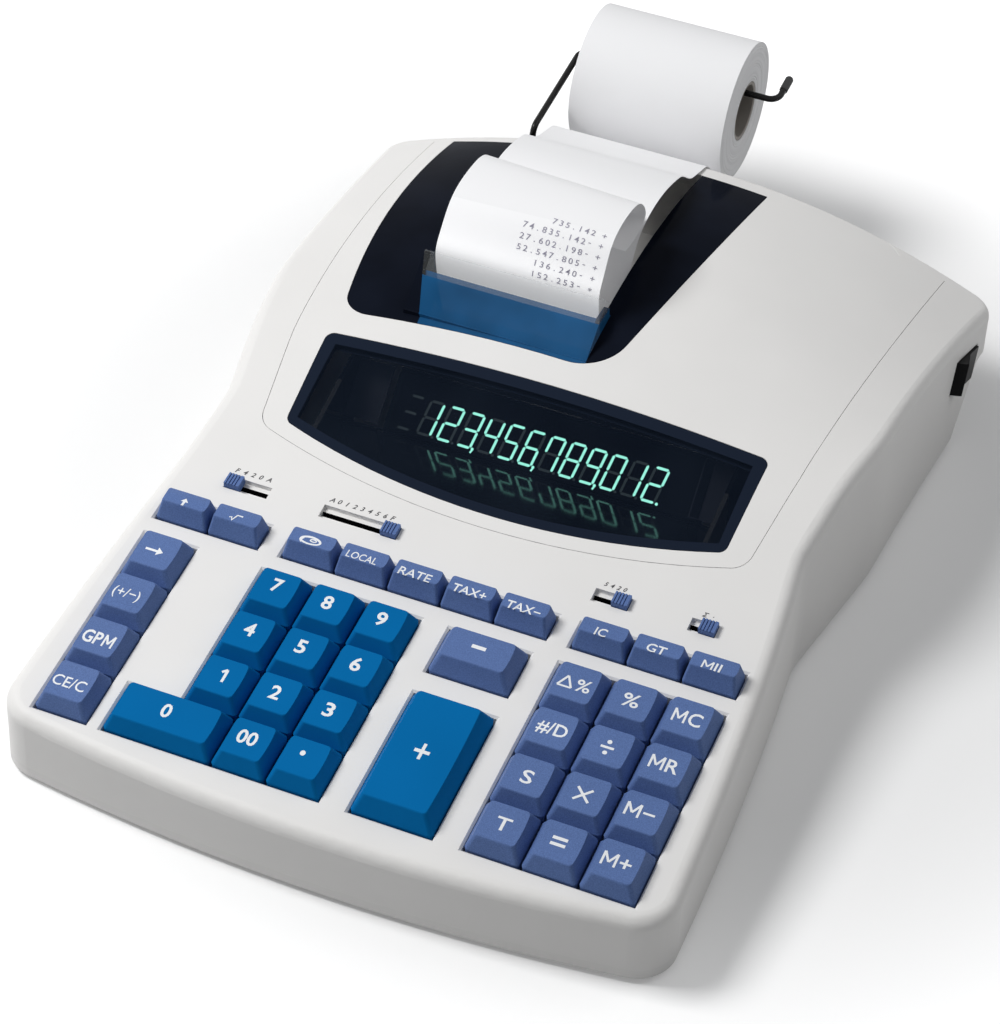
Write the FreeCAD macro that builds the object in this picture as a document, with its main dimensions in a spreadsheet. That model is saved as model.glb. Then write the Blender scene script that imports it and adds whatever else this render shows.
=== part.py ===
import FreeCAD, Part
import math
import os
import re
from FreeCAD import Placement, Rotation, Vector

# Desktop printing calculator.
# X points right, Y points away from the user, Z points up. The origin lies on the desk, in the
# middle of the footprint, which reaches from the front edge to the back of the paper roll.
# The deck has a frame of its own: its origin is the front edge of the key wells on the centre
# line, its y runs up the slope and its z is the normal. Lengths are millimetres, angles degrees.

# Driving dimensions
sizes = {
    # housing in plan
    "front_y": -191.6,
    "front_corner_y": -182.6,
    "front_half_width": 109.2,
    "side_middle_y": -119.0,
    "side_middle_half_width": 106.6,
    "waist_y": -41.0,
    "waist_half_width": 99.6,
    "shoulder_y": 13.0,
    "shoulder_half_width": 107.6,
    "flank_y": 75.0,
    "flank_half_width": 110.5,
    "rear_corner_y": 123.0,
    "rear_half_width": 114.3,
    "rear_y": 128.0,
    "front_corner_radius": 13.0,
    "waist_radius": 30.0,
    "shoulder_radius": 80.0,
    "rear_corner_radius": 9.0,
    "rim_radius": 4.5,
    # housing in profile
    "foot_height": 2.0,
    "parting_height": 5.4,
    "deck_y": -179.05,
    "deck_height": 26.7,
    "deck_tilt": 8.0,
    "panel_break_y": -67.5,
    "panel_break_blend": 16.0,
    "panel_tilt": 17.8,
    "hump_start_y": -13.5,
    "hump_radius": 240.0,
    "crown_start_y": -17.0,
    "crown_length": 130.0,
    "crown_drop": 14.5,
    "crown_half_width": 90.0,
    "undercut_foot_y": 92.0,
    "undercut_knee_y": 109.0,
    "undercut_height": 25.0,
    # walls and fits
    "wall": 2.5,
    "seam_gap": 0.2,
    "seat_gap": 0.1,
    "ledge_width": 3.0,
    "ledge_thickness": 1.6,
    "lip_gap": 0.15,
    "lip_thickness": 1.4,
    "lip_height": 4.0,
    # centre panel and its window, in plan
    "panel_front_y": -64.3,
    "panel_corner_y": -51.2,
    "panel_corner_half_width": 83.3,
    "panel_window_y": -15.6,
    "panel_window_half_width": 88.0,
    "panel_rear_half_width": 96.0,
    "panel_side_bulge": 1.2,
    "panel_corner_radius": 7.0,
    "panel_strip_height": 53.0,
    "window_front_y": -59.4,
    "window_corner_y": -48.0,
    "window_front_half_width": 75.4,
    "window_rear_y": -12.6,
    "window_rear_middle_y": -9.2,
    "window_rear_half_width": 76.8,
    "window_corner_radius": 3.0,
    # key blocks on the deck
    "key_pitch": 18.0,
    "row_pitch": 18.82,
    "well_margin": 0.15,
    "edit_keys_x": -97.5,
    "figure_keys_x": -74.5,
    "total_keys_x": 7.0,
    "total_key_width": 27.0,
    "plus_key_depth": 48.2,
    "minus_key_y": 57.0,
    "minus_key_depth": 18.2,
    "function_keys_x": 43.4,
    "small_keys_y": 82.2,
    "small_row_depth": 10.3,
    "small_left_x": -97.8,
    "small_middle_x": -53.9,
    "small_right_x": 43.8,
    # key caps
    "key_gap": 0.7,
    "key_height": 5.3,
    "key_side_slope": 2.35,
    "key_corner_radius": 1.5,
    "key_rim_radius": 0.7,
    "large_key_height": 6.3,
    "large_key_slope": 2.9,
    "small_key_height": 6.0,
    "small_key_side_slope": 1.3,
    "small_key_front_slope": 2.6,
    "small_key_corner_radius": 1.0,
    "dish_depth": 0.45,
    "skirt_depth": 3.5,
    "cap_wall": 1.2,
    "stem_width": 5.0,
    "stem_length": 14.0,
    "stem_fit": 0.1,
    "key_travel": 3.0,
    "tray_floor_depth": 8.5,
    "tray_wall": 1.2,
    "well_chamfer": 0.7,
    # slide switches
    "slot_y": 101.7,
    "slot_width": 5.2,
    "slot_recess": 1.4,
    "slot_slit": 1.9,
    "slide_one_x": -83.2,
    "slide_one_length": 15.0,
    "slide_two_x": -49.8,
    "slide_two_length": 26.8,
    "slide_three_x": 42.8,
    "slide_three_length": 12.2,
    "slide_four_x": 74.6,
    "slide_four_length": 9.0,
    "slide_knob_length": 5.2,
    "slide_knob_height": 2.2,
    "knob_groove_depth": 0.4,
    "slide_play": 0.25,
    "slide_stem_length": 7.4,
    # display
    "tube_x": 3.0,
    "tube_y": -16.0,
    "tube_height": 42.6,
    "tube_tilt": 45.0,
    "tube_width": 110.0,
    "tube_rise": 22.0,
    "tube_thickness": 7.0,
    "tray_half_width": 68.0,
    "tray_front_y": -54.0,
    "tray_thickness": 1.5,
    "tube_edge_radius": 1.2,
    # printer lid, in plan
    "lid_front_left_y": -2.3,
    "lid_front_right_y": 1.0,
    "lid_front_middle_x": -31.0,
    "lid_front_middle_y": 1.3,
    "lid_corner_left_x": -76.4,
    "lid_corner_right_x": 14.2,
    "lid_middle_y": 52.0,
    "lid_middle_left_x": -85.3,
    "lid_middle_right_x": 24.3,
    "lid_rear_y": 118.0,
    "lid_rear_left_x": -88.0,
    "lid_rear_right_x": 29.6,
    "lid_left_radius": 9.0,
    "lid_right_radius": 16.0,
    # paper path
    "paper_x": -24.7,
    "paper_width": 58.0,
    "paper_thickness": 0.25,
    "paper_clearance": 0.3,
    "well_half_width": 30.3,
    "cheek_thickness": 2.0,
    "cheek_depth": 8.0,
    "hood_front_y": 3.6,
    "tear_y": 20.0,
    "tear_height": 77.6,
    "hood_thickness": 1.6,
    "hood_foot": 0.5,
    "tear_edge": 0.5,
    "wing_tip": 2.5,
    "wing_foot": 4.0,
    "roll_y": 166.25,
    "roll_height": 61.2,
    "roll_radius": 25.3,
    "roll_width": 58.5,
    "core_radius": 9.6,
    # wire that carries the roll
    "wire_radius": 1.15,
    "wire_bend": 4.0,
    "wire_arm_x": -59.3,
    "wire_socket_y": 121.0,
    "wire_socket_bottom": 46.0,
    "wire_rise_height": 62.8,
    "wire_end_x": 16.0,
    "wire_hook": 12.0,
    "wire_hook_rise": 1.5,
    "wire_gap": 0.8,
    "wire_fit": 0.1,
    "wire_boss_radius": 2.9,
    # printer mechanism
    "platen_y": 35.0,
    "platen_height": 48.7,
    "platen_radius": 6.0,
    "platen_length": 60.0,
    "shaft_radius": 2.0,
    "shaft_fit": 0.05,
    "side_plate_thickness": 1.5,
    "plate_clearance": 1.2,
    "print_gap": 0.4,
    "print_block_depth": 9.0,
    "print_block_height": 7.0,
    "ink_roller_radius": 4.0,
    "ink_roller_length": 54.0,
    "motor_radius": 10.0,
    "motor_length": 34.0,
    "plate_half_length": 26.0,
    "plate_rise": 6.0,
    "tie_bar_radius": 2.5,
    "ink_roller_drop": 11.5,
    "printer_foot_height": 6.0,
    "printer_foot_width": 6.0,
    "printer_foot_length": 8.0,
    "printer_foot_spread": 20.0,
    # circuit board
    "board_clearance": 0.6,
    "board_thickness": 1.6,
    "board_half_width": 92.0,
    "board_front": -3.0,
    "board_rear": 112.0,
    "post_radius": 3.2,
    "post_inset": 6.0,
    "transformer_x": 40.0,
    "transformer_y": 40.0,
    "transformer_width": 44.0,
    "transformer_depth": 40.0,
    "transformer_height": 34.0,
    # power switch
    "rocker_y": 94.5,
    "rocker_height": 31.0,
    "rocker_radius": 11.0,
    "rocker_width": 12.0,
    "rocker_depth": 4.0,
    "rocker_ridge": 1.0,
    "rocker_back": 5.0,
    "rocker_angle": 8.0,
    "rocker_slant": 16.0,
    "rocker_clearance": 0.4,
    # feet, screws, cord hole
    "foot_radius": 7.5,
    "foot_recess": 0.8,
    "foot_x": 90.0,
    "foot_front_y": -166.0,
    "foot_rear_y": 78.0,
    "screw_radius": 1.5,
    "screw_head_radius": 2.8,
    "screw_head_height": 2.0,
    "screw_length": 12.0,
    "screw_seat_height": 6.0,
    "boss_radius": 3.6,
    "boss_spacing": 4.0,
    "screw_fit": 0.1,
    "screw_end_room": 1.0,
    "screw_well_wall": 1.4,
    "cord_hole_radius": 3.6,
    "cord_hole_x": 78.0,
    "cord_hole_height": 18.0,
}

doc = FreeCAD.newDocument("printing_calculator")
sheet = doc.addObject("Spreadsheet::Sheet", "Sizes")
for row, (alias, value) in enumerate(sizes.items(), start=1):
    sheet.set("A%d" % row, alias)
    sheet.set("B%d" % row, str(value))
    sheet.setAlias("B%d" % row, alias)
doc.recompute()


def size(alias):
    """The sheet's value of one driving dimension."""
    return float(getattr(sheet, alias))


# Named building blocks of the document
alias_pattern = re.compile(r"\b(" + "|".join(sizes) + r")\b")


def tie(text):
    """An expression in plain aliases, written for the sheet."""
    return alias_pattern.sub(r"Sizes.\1", text)


def add(kind, name, turn=None, **ties):
    """A document object whose properties follow the sheet. Two underscores stand for a dot."""
    thing = doc.addObject(kind, name)
    if turn:
        thing.Placement = Placement(Vector(), turn)
    for path, text in ties.items():
        thing.setExpression(path.replace("__", "."), tie(text))
    return thing


def place(thing, x="0", y="0", z="0"):
    """Ties an object's place to the sheet."""
    for axis, text in zip("xyz", (x, y, z)):
        thing.setExpression("Placement.Base." + axis, tie(text))
    return thing


def box(name, x0, x1, y0, y1, z0, z1):
    """A box from its two corners, each an expression."""
    thing = add("Part::Box", name, Length="(%s)-(%s)" % (x1, x0), Width="(%s)-(%s)" % (y1, y0),
                Height="(%s)-(%s)" % (z1, z0))
    return place(thing, x0, y0, z0)


def cylinder_x(name, radius, length, x, y, z):
    """A cylinder along X that starts at the given point."""
    turn = Rotation(Vector(0, 1, 0), 90)
    return place(add("Part::Cylinder", name, turn, Radius=radius, Height=length), x, y, z)


def fuse(name, *pieces):
    thing = doc.addObject("Part::MultiFuse", name)
    thing.Shapes = list(pieces)
    thing.Refine = True
    return thing


def cut(name, base, tool):
    thing = doc.addObject("Part::Cut", name)
    thing.Base = base
    thing.Tool = tool
    return thing


def rounded(name, base, radius_of):
    """Fillets the edges for which radius_of gives a radius."""
    doc.recompute()
    thing = doc.addObject("Part::Fillet", name)
    thing.Base = base
    chosen = []
    for number, edge in enumerate(base.Shape.Edges, start=1):
        radius = radius_of(edge)
        if radius:
            chosen.append((number, radius, radius))
    thing.Edges = chosen
    return thing


sub_parts = []


def sub_part(name, thing):
    """Names a finished sub-part."""
    thing.Label = name
    sub_parts.append(thing)
    return thing


def feature(name, shape):
    """A sub-part whose shape is made with Part's own functions."""
    thing = doc.addObject("Part::Feature", name)
    thing.Shape = shape
    return sub_part(name, thing)


# Places on the deck
def on_deck(thing, x, y, z="0"):
    """Puts an object built in the deck's frame on the deck, at a place tied to the sheet."""
    thing.Placement = Placement(Vector(), Rotation(Vector(1, 0, 0), size("deck_tilt")))
    thing.setExpression("Placement.Rotation.Angle", tie("deck_tilt"))
    place(thing, x,
          "deck_y + (%s) * cos(deck_tilt) - (%s) * sin(deck_tilt)" % (y, z),
          "deck_height + (%s) * sin(deck_tilt) + (%s) * cos(deck_tilt)" % (y, z))
    return thing


def deck_shape(shape):
    """A plain shape moved from the deck's frame to the part's frame."""
    tilt = Rotation(Vector(1, 0, 0), size("deck_tilt"))
    moved = shape.copy()
    moved.Placement = Placement(Vector(0, size("deck_y"), size("deck_height")), tilt).multiply(
        shape.Placement)
    return moved


def block(x0, x1, y0, y1, z0, z1):
    return Part.makeBox(x1 - x0, y1 - y0, z1 - z0, Vector(x0, y0, z0))


def rod(radius, start, end):
    return Part.makeCylinder(radius, (end - start).Length, start, end - start)


# Crowned top surface of the housing
SHEET_STEP = 12.0
SHEET_REACH = 132.0
CEILING = 120.0


def centre_height(y):
    """Height of the top surface on the centre line: deck, blend, panel slope, then the hump."""
    deck_slope = math.tan(math.radians(size("deck_tilt")))
    panel_slope = math.tan(math.radians(size("panel_tilt")))
    blend = size("panel_break_blend")
    past_break = y - size("panel_break_y")
    deck_line = size("deck_height") + (min(y, size("panel_break_y") - blend) - size("deck_y")) * deck_slope
    if past_break <= -blend:
        return deck_line
    if past_break < blend:
        travelled = past_break + blend
        bend = (panel_slope - deck_slope) * travelled ** 2 / (4 * blend)
        return deck_line + travelled * deck_slope + bend
    break_height = size("deck_height") + (size("panel_break_y") - size("deck_y")) * deck_slope
    panel_height = break_height + min(past_break, size("hump_start_y") - size("panel_break_y")) * panel_slope
    past_start = y - size("hump_start_y")
    if past_start <= 0:
        return panel_height
    start_sine = math.sin(math.radians(size("panel_tilt")))
    sine = start_sine - past_start / size("hump_radius")
    return panel_height + size("hump_radius") * (math.sqrt(1 - sine ** 2) - math.sqrt(1 - start_sine ** 2))


def crown(x, y):
    """How far the surface falls away at x, from nothing on the deck to the full drop behind."""
    share = min(max((y - size("crown_start_y")) / size("crown_length"), 0.0), 1.0)
    return size("crown_drop") * math.sin(math.pi / 2 * share) * (x / size("crown_half_width")) ** 2


def top_height(x, y):
    return centre_height(y) - crown(x, y)


def deck_end():
    """Where the flat deck ends and the curved sheet takes over."""
    return size("panel_break_y") - size("panel_break_blend") - 2 * SHEET_STEP


def make_top_sheets():
    """The top surface as a flat face over the deck and one smooth sheet behind it."""
    start = deck_end()
    rows = math.ceil((size("rear_y") + SHEET_STEP - start) / SHEET_STEP)
    depths = [start + SHEET_STEP * row for row in range(rows + 1)]
    widths = [SHEET_REACH * column / 4 for column in range(-4, 5)]
    grid = [[Vector(x, y, top_height(x, y)) for y in depths] for x in widths]
    surface = Part.BSplineSurface()
    surface.interpolate(grid)
    front = size("front_y") - SHEET_STEP
    corners = [Vector(-SHEET_REACH, front, centre_height(front)), Vector(SHEET_REACH, front, centre_height(front)),
               Vector(SHEET_REACH, start, centre_height(start)), Vector(-SHEET_REACH, start, centre_height(start))]
    return [Part.Face(Part.makePolygon(corners + corners[:1])), surface.toShape()]


top_sheets = make_top_sheets()


def layer(upper, lower):
    """The layer between two depths under the top surface."""
    slabs = []
    for face in top_sheets:
        lowered = face.copy()
        lowered.translate(Vector(0, 0, -upper))
        slabs.append(lowered.extrude(Vector(0, 0, upper - lower)))
    return slabs[0].fuse(slabs[1])


def below_top(depth):
    """Everything under the top surface lowered by depth."""
    return layer(depth, depth + CEILING)


def rear_layer(upper, lower):
    """The part of a layer behind the flat deck."""
    lowered = top_sheets[1].copy()
    lowered.translate(Vector(0, 0, -upper))
    return lowered.extrude(Vector(0, 0, upper - lower))


# Outlines in plan
def plan_face(edges, corners):
    """A flat face from edges in plan, with its corners rounded."""
    prism = Part.Face(Part.Wire(edges)).extrude(Vector(0, 0, 1))
    for radius, points in corners:
        upright = []
        for edge in prism.Edges:
            ends = [vertex.Point for vertex in edge.Vertexes]
            rises = len(ends) == 2 and abs(ends[0].z - ends[1].z) > 0.5
            if rises and any(math.hypot(ends[0].x - p.x, ends[0].y - p.y) < 0.001 for p in points):
                upright.append(edge)
        prism = prism.makeFillet(radius, upright)
    return [face for face in prism.Faces if face.normalAt(0, 0).z < -0.9][0]


def grown_plan(face, grow):
    """A plan face grown or shrunk all round, made of plain lines and arcs."""
    edges = []
    for edge in face.makeOffset2D(grow).Edges:
        if edge.Curve.TypeId in ("Part::GeomLine", "Part::GeomCircle"):
            edges.append(edge)
            continue
        first, last = edge.ParameterRange
        edges.append(arc(edge.valueAt(first), edge.valueAt((first + last) / 2), edge.valueAt(last)))
    return Part.Face(Part.Wire(Part.__sortEdges__(edges)))


def prism_of(face, grow, low, high):
    """A prism over a plan face, grown or shrunk all round."""
    plan = grown_plan(face, grow) if grow else face.copy()
    plan.translate(Vector(0, 0, low))
    return plan.extrude(Vector(0, 0, high - low))


def mirrored_points(points):
    return [Vector(-p.x, p.y, p.z) for p in points]


def arc(start, middle, end):
    return Part.Arc(start, middle, end).toShape()


def housing_plan():
    front = Vector(size("front_half_width"), size("front_corner_y"), 0)
    side = Vector(size("side_middle_half_width"), size("side_middle_y"), 0)
    waist = Vector(size("waist_half_width"), size("waist_y"), 0)
    shoulder = Vector(size("shoulder_half_width"), size("shoulder_y"), 0)
    flank = Vector(size("flank_half_width"), size("flank_y"), 0)
    rear = Vector(size("rear_half_width"), size("rear_corner_y"), 0)
    front_l, side_l, waist_l, shoulder_l, flank_l, rear_l = mirrored_points(
        [front, side, waist, shoulder, flank, rear])
    edges = [
        arc(front_l, Vector(0, size("front_y"), 0), front),
        arc(front, side, waist),
        Part.makeLine(waist, shoulder),
        arc(shoulder, flank, rear),
        arc(rear, Vector(0, size("rear_y"), 0), rear_l),
        arc(rear_l, flank_l, shoulder_l),
        Part.makeLine(shoulder_l, waist_l),
        arc(waist_l, side_l, front_l),
    ]
    corners = [
        (size("front_corner_radius"), [front, front_l]),
        (size("waist_radius"), [waist, waist_l]),
        (size("shoulder_radius"), [shoulder, shoulder_l]),
        (size("rear_corner_radius"), [rear, rear_l]),
    ]
    return plan_face(edges, corners)


def panel_plan():
    """Outline of the centre panel, open past the rear wall."""
    corner = Vector(size("panel_corner_half_width"), size("panel_corner_y"), 0)
    window = Vector(size("panel_window_half_width"), size("panel_window_y"), 0)
    rear = Vector(size("panel_rear_half_width"), size("rear_y") + size("rim_radius"), 0)
    bulge = (window + rear) * 0.5 + Vector(size("panel_side_bulge"), 0, 0)
    corner_l, window_l, rear_l, bulge_l = mirrored_points([corner, window, rear, bulge])
    edges = [
        arc(corner_l, Vector(0, size("panel_front_y"), 0), corner),
        Part.makeLine(corner, window),
        arc(window, bulge, rear),
        Part.makeLine(rear, rear_l),
        arc(rear_l, bulge_l, window_l),
        Part.makeLine(window_l, corner_l),
    ]
    return plan_face(edges, [(size("panel_corner_radius"), [corner, corner_l])])


def window_plan():
    front = Vector(size("window_front_half_width"), size("window_corner_y"), 0)
    rear = Vector(size("window_rear_half_width"), size("window_rear_y"), 0)
    front_l, rear_l = mirrored_points([front, rear])
    edges = [
        arc(front_l, Vector(0, size("window_front_y"), 0), front),
        Part.makeLine(front, rear),
        arc(rear, Vector(0, size("window_rear_middle_y"), 0), rear_l),
        Part.makeLine(rear_l, front_l),
    ]
    return plan_face(edges, [(size("window_corner_radius"), [front, front_l, rear, rear_l])])


def lid_plan():
    front_left = Vector(size("lid_corner_left_x"), size("lid_front_left_y"), 0)
    front_middle = Vector(size("lid_front_middle_x"), size("lid_front_middle_y"), 0)
    front_right = Vector(size("lid_corner_right_x"), size("lid_front_right_y"), 0)
    middle_left = Vector(size("lid_middle_left_x"), size("lid_middle_y"), 0)
    middle_right = Vector(size("lid_middle_right_x"), size("lid_middle_y"), 0)
    rear_left = Vector(size("lid_rear_left_x"), size("lid_rear_y"), 0)
    rear_right = Vector(size("lid_rear_right_x"), size("lid_rear_y"), 0)
    edges = [
        arc(front_left, front_middle, front_right),
        arc(front_right, middle_right, rear_right),
        Part.makeLine(rear_right, rear_left),
        arc(rear_left, middle_left, front_left),
    ]
    corners = [
        (size("lid_left_radius"), [front_left]),
        (size("lid_right_radius"), [front_right]),
    ]
    return plan_face(edges, corners)


housing_face = housing_plan()
panel_face = panel_plan()
window_face = window_plan()
lid_face = lid_plan()


# Housing volume, from which every shell is cut
def rear_undercut(inset):
    """What the sloping foot of the rear wall and the flat step above it take away."""
    low = size("foot_height")
    run = size("undercut_knee_y") - size("undercut_foot_y")
    rise = size("undercut_height") - low
    shift = inset * math.hypot(run, rise) / rise
    foot_y = size("undercut_foot_y") - shift
    knee_z = size("undercut_height") + inset
    behind = size("rear_y") + CEILING
    below = low - CEILING
    points = [Vector(-SHEET_REACH, foot_y - CEILING * run / rise, below),
              Vector(-SHEET_REACH, foot_y + (knee_z - low) * run / rise, knee_z),
              Vector(-SHEET_REACH, behind, knee_z), Vector(-SHEET_REACH, behind, below)]
    face = Part.Face(Part.makePolygon(points + points[:1]))
    return face.extrude(Vector(2 * SHEET_REACH, 0, 0))


def housing_volume(inset, low, rim=0.0):
    """The housing's outer volume moved in by inset, standing on the height low."""
    volume = prism_of(housing_face, -inset, low, CEILING).common(below_top(inset))
    if rim:
        roof = max(volume.Faces, key=lambda face: face.CenterOfMass.z)
        volume = volume.makeFillet(rim, roof.Edges)
    return volume.cut(rear_undercut(inset))


base_z = size("foot_height")
floor_z = base_z + size("wall")
parting_z = size("parting_height")
outer_volume = housing_volume(0, base_z, size("rim_radius"))
inner_volume = housing_volume(size("wall"), floor_z)
case = outer_volume.cut(inner_volume)
wide = block(-SHEET_REACH, SHEET_REACH, -2 * SHEET_REACH, 2 * SHEET_REACH, parting_z, CEILING)
upper_case = case.common(wide)


zone_floor = size("undercut_height") + 2 * size("wall")


def panel_zone(grow):
    """The room of the centre panel: its outline, and behind it the strip down the rear wall."""
    zone = prism_of(panel_face, grow, zone_floor, CEILING)
    low_rear = block(-SHEET_REACH, SHEET_REACH, size("lid_rear_y"), 2 * SHEET_REACH, 0,
                     size("panel_strip_height") - grow)
    return zone.cut(low_rear)


def lid_zone(grow):
    return prism_of(lid_face, grow, zone_floor, CEILING)


def window_zone(grow):
    return prism_of(window_face, grow, zone_floor, CEILING)


def seat_ring(zone, width):
    """A ledge under a seam: its outer half joins the skin, its inner half carries the inset piece."""
    lower = size("wall") + size("ledge_thickness")
    ring = rear_layer(size("wall") / 2, lower).common(zone(width).cut(zone(-width)))
    return ring.cut(rear_layer(0, size("wall") + size("seat_gap")).common(zone(size("seam_gap"))))


# Key layout: node, cap, left edge, front edge, width and depth of its cell, on the deck
def cell(block_x, column, block_y, row, across="key_pitch", along="row_pitch"):
    return ("%s + %g * key_pitch" % (block_x, column), "%s + %g * row_pitch" % (block_y, row),
            across, along)


keys = []
for row, node in enumerate(["key_clear_entry", "key_margin", "key_sign", "key_backspace"]):
    keys.append((node, "standard", cell("edit_keys_x", 0, "0", row)))
keys.append(("key_0", "double", cell("figure_keys_x", 0, "0", 0, "2 * key_pitch")))
keys.append(("key_00", "standard", cell("figure_keys_x", 2, "0", 0)))
keys.append(("key_point", "standard", cell("figure_keys_x", 3, "0", 0)))
for figure in range(1, 10):
    column = 1 + (figure - 1) % 3
    row = 1 + (figure - 1) // 3
    keys.append(("key_%d" % figure, "standard", cell("figure_keys_x", column, "0", row)))
keys.append(("key_plus", "plus", ("total_keys_x", "0", "total_key_width", "plus_key_depth")))
keys.append(("key_minus", "minus", ("total_keys_x", "minus_key_y", "total_key_width", "minus_key_depth")))
function_names = [
    ["key_total", "key_equals", "key_memory_plus"],
    ["key_subtotal", "key_times", "key_memory_minus"],
    ["key_number_date", "key_divide", "key_memory_recall"],
    ["key_percent_change", "key_percent", "key_memory_clear"],
]
for row, names in enumerate(function_names):
    for column, node in enumerate(names):
        keys.append((node, "standard", cell("function_keys_x", column, "0", row)))
small_rows = [
    ("small_left_x", ["key_arrow_up", "key_root"]),
    ("small_middle_x", ["key_paper_feed", "key_currency", "key_rate", "key_tax_plus", "key_tax_minus"]),
    ("small_right_x", ["key_item_count", "key_grand_total", "key_memory_two"]),
]
for block_x, names in small_rows:
    for column, node in enumerate(names):
        keys.append((node, "small", cell(block_x, column, "small_keys_y", 0, along="small_row_depth")))

# Wells in the deck: left, right, front and rear edge of each opening
well_rectangles = [
    ("edit_keys_x", "edit_keys_x + key_pitch", "0", "4 * row_pitch"),
    ("figure_keys_x", "figure_keys_x + 4 * key_pitch", "0", "row_pitch"),
    ("figure_keys_x + key_pitch", "figure_keys_x + 4 * key_pitch", "0", "4 * row_pitch"),
    ("total_keys_x", "total_keys_x + total_key_width", "0", "plus_key_depth"),
    ("total_keys_x", "total_keys_x + total_key_width", "minus_key_y", "minus_key_y + minus_key_depth"),
    ("function_keys_x", "function_keys_x + 3 * key_pitch", "0", "4 * row_pitch"),
    ("small_left_x", "small_left_x + 2 * key_pitch", "small_keys_y", "small_keys_y + small_row_depth"),
    ("small_middle_x", "small_middle_x + 5 * key_pitch", "small_keys_y", "small_keys_y + small_row_depth"),
    ("small_right_x", "small_right_x + 3 * key_pitch", "small_keys_y", "small_keys_y + small_row_depth"),
]
slides = [
    ("slide_one", 0), ("slide_two", 1), ("slide_three", 1), ("slide_four", 1),
]


def number(text):
    """The value of a sum or product of aliases and numbers."""
    total = 0.0
    for term in text.split(" + "):
        product = 1.0
        for factor in term.split(" * "):
            product *= size(factor) if factor in sizes else float(factor)
        total += product
    return total


def frustum(x0, x1, y0, y1, low, high, spread):
    """A block whose rim at the height high is wider all round by spread."""
    outlines = []
    for z, grow in ((low, 0.0), (high, spread)):
        corners = [Vector(x0 - grow, y0 - grow, z), Vector(x1 + grow, y0 - grow, z),
                   Vector(x1 + grow, y1 + grow, z), Vector(x0 - grow, y1 + grow, z)]
        outlines.append(Part.makePolygon(corners + corners[:1]))
    return Part.makeLoft(outlines, True, True)


def stem_centres():
    """Where each key's stem stands on the deck."""
    places = []
    for node, cap, (x, y, across, along) in keys:
        places.append((number(x) + number(across) / 2, number(y) + number(along) / 2))
    return places


# Key caps
def key_cap(name, across, along, height, side_slope, front_slope, corner):
    """One kind of key cap with its stem, built about the middle of its foot on the deck."""
    half_x = "(%s - key_gap) / 2" % across
    half_y = "(%s - key_gap) / 2" % along
    upright = Rotation(Vector(1, 0, 0), 90)

    def corner_radius(edge):
        ends = [vertex.Z for vertex in edge.Vertexes]
        if abs(ends[0] - ends[-1]) > 0.01:
            return size(corner)
        return size("key_rim_radius") if ends[0] > size(height) - 0.01 else None

    def upright_radius(edge):
        ends = [vertex.Z for vertex in edge.Vertexes]
        return size(corner) if abs(ends[0] - ends[-1]) > 0.01 else None

    skirt = box(name + "_skirt_block", "-(%s)" % half_x, half_x, "-(%s)" % half_y, half_y,
                "-skirt_depth", "0")
    skirt = rounded(name + "_skirt", skirt, upright_radius)
    crown_block = add("Part::Wedge", name + "_crown_block", upright,
                      Xmin="-(%s)" % half_x, Xmax=half_x, Zmin="-(%s)" % half_y, Zmax=half_y,
                      Ymin="0", Ymax=height,
                      X2min="%s - (%s)" % (side_slope, half_x), X2max="%s - %s" % (half_x, side_slope),
                      Z2min="%s - (%s)" % (side_slope, half_y), Z2max="%s - %s" % (half_y, front_slope))
    crown_part = rounded(name + "_crown", crown_block, corner_radius)
    hollow = add("Part::Wedge", name + "_hollow", upright,
                 Xmin="cap_wall - (%s)" % half_x, Xmax="%s - cap_wall" % half_x,
                 Zmin="cap_wall - (%s)" % half_y, Zmax="%s - cap_wall" % half_y,
                 Ymin="-skirt_depth", Ymax="%s - cap_wall" % height,
                 X2min="cap_wall + %s - (%s)" % (side_slope, half_x),
                 X2max="%s - %s - cap_wall" % (half_x, side_slope),
                 Z2min="cap_wall + %s - (%s)" % (side_slope, half_y),
                 Z2max="%s - %s - cap_wall" % (half_y, front_slope))
    body = fuse(name + "_body", skirt, crown_part)
    shell = cut(name + "_shell", body, hollow)
    half_stem = "min(stem_width; %s - 2 * cap_wall - key_gap) / 2" % along
    stem = box(name + "_stem", "-stem_width / 2", "stem_width / 2", "-(%s)" % half_stem, half_stem,
               "-stem_length", "%s - cap_wall / 2" % height)
    return shell, stem


def dish(name, height, reach, across, turn):
    """The shallow round hollow in a key's top."""
    radius = "((%s / 2) ^ 2 + dish_depth ^ 2) / (2 * dish_depth)" % reach
    thing = add("Part::Cylinder", name + "_dish", turn, Radius=radius, Height=across)
    return thing, radius


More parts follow.
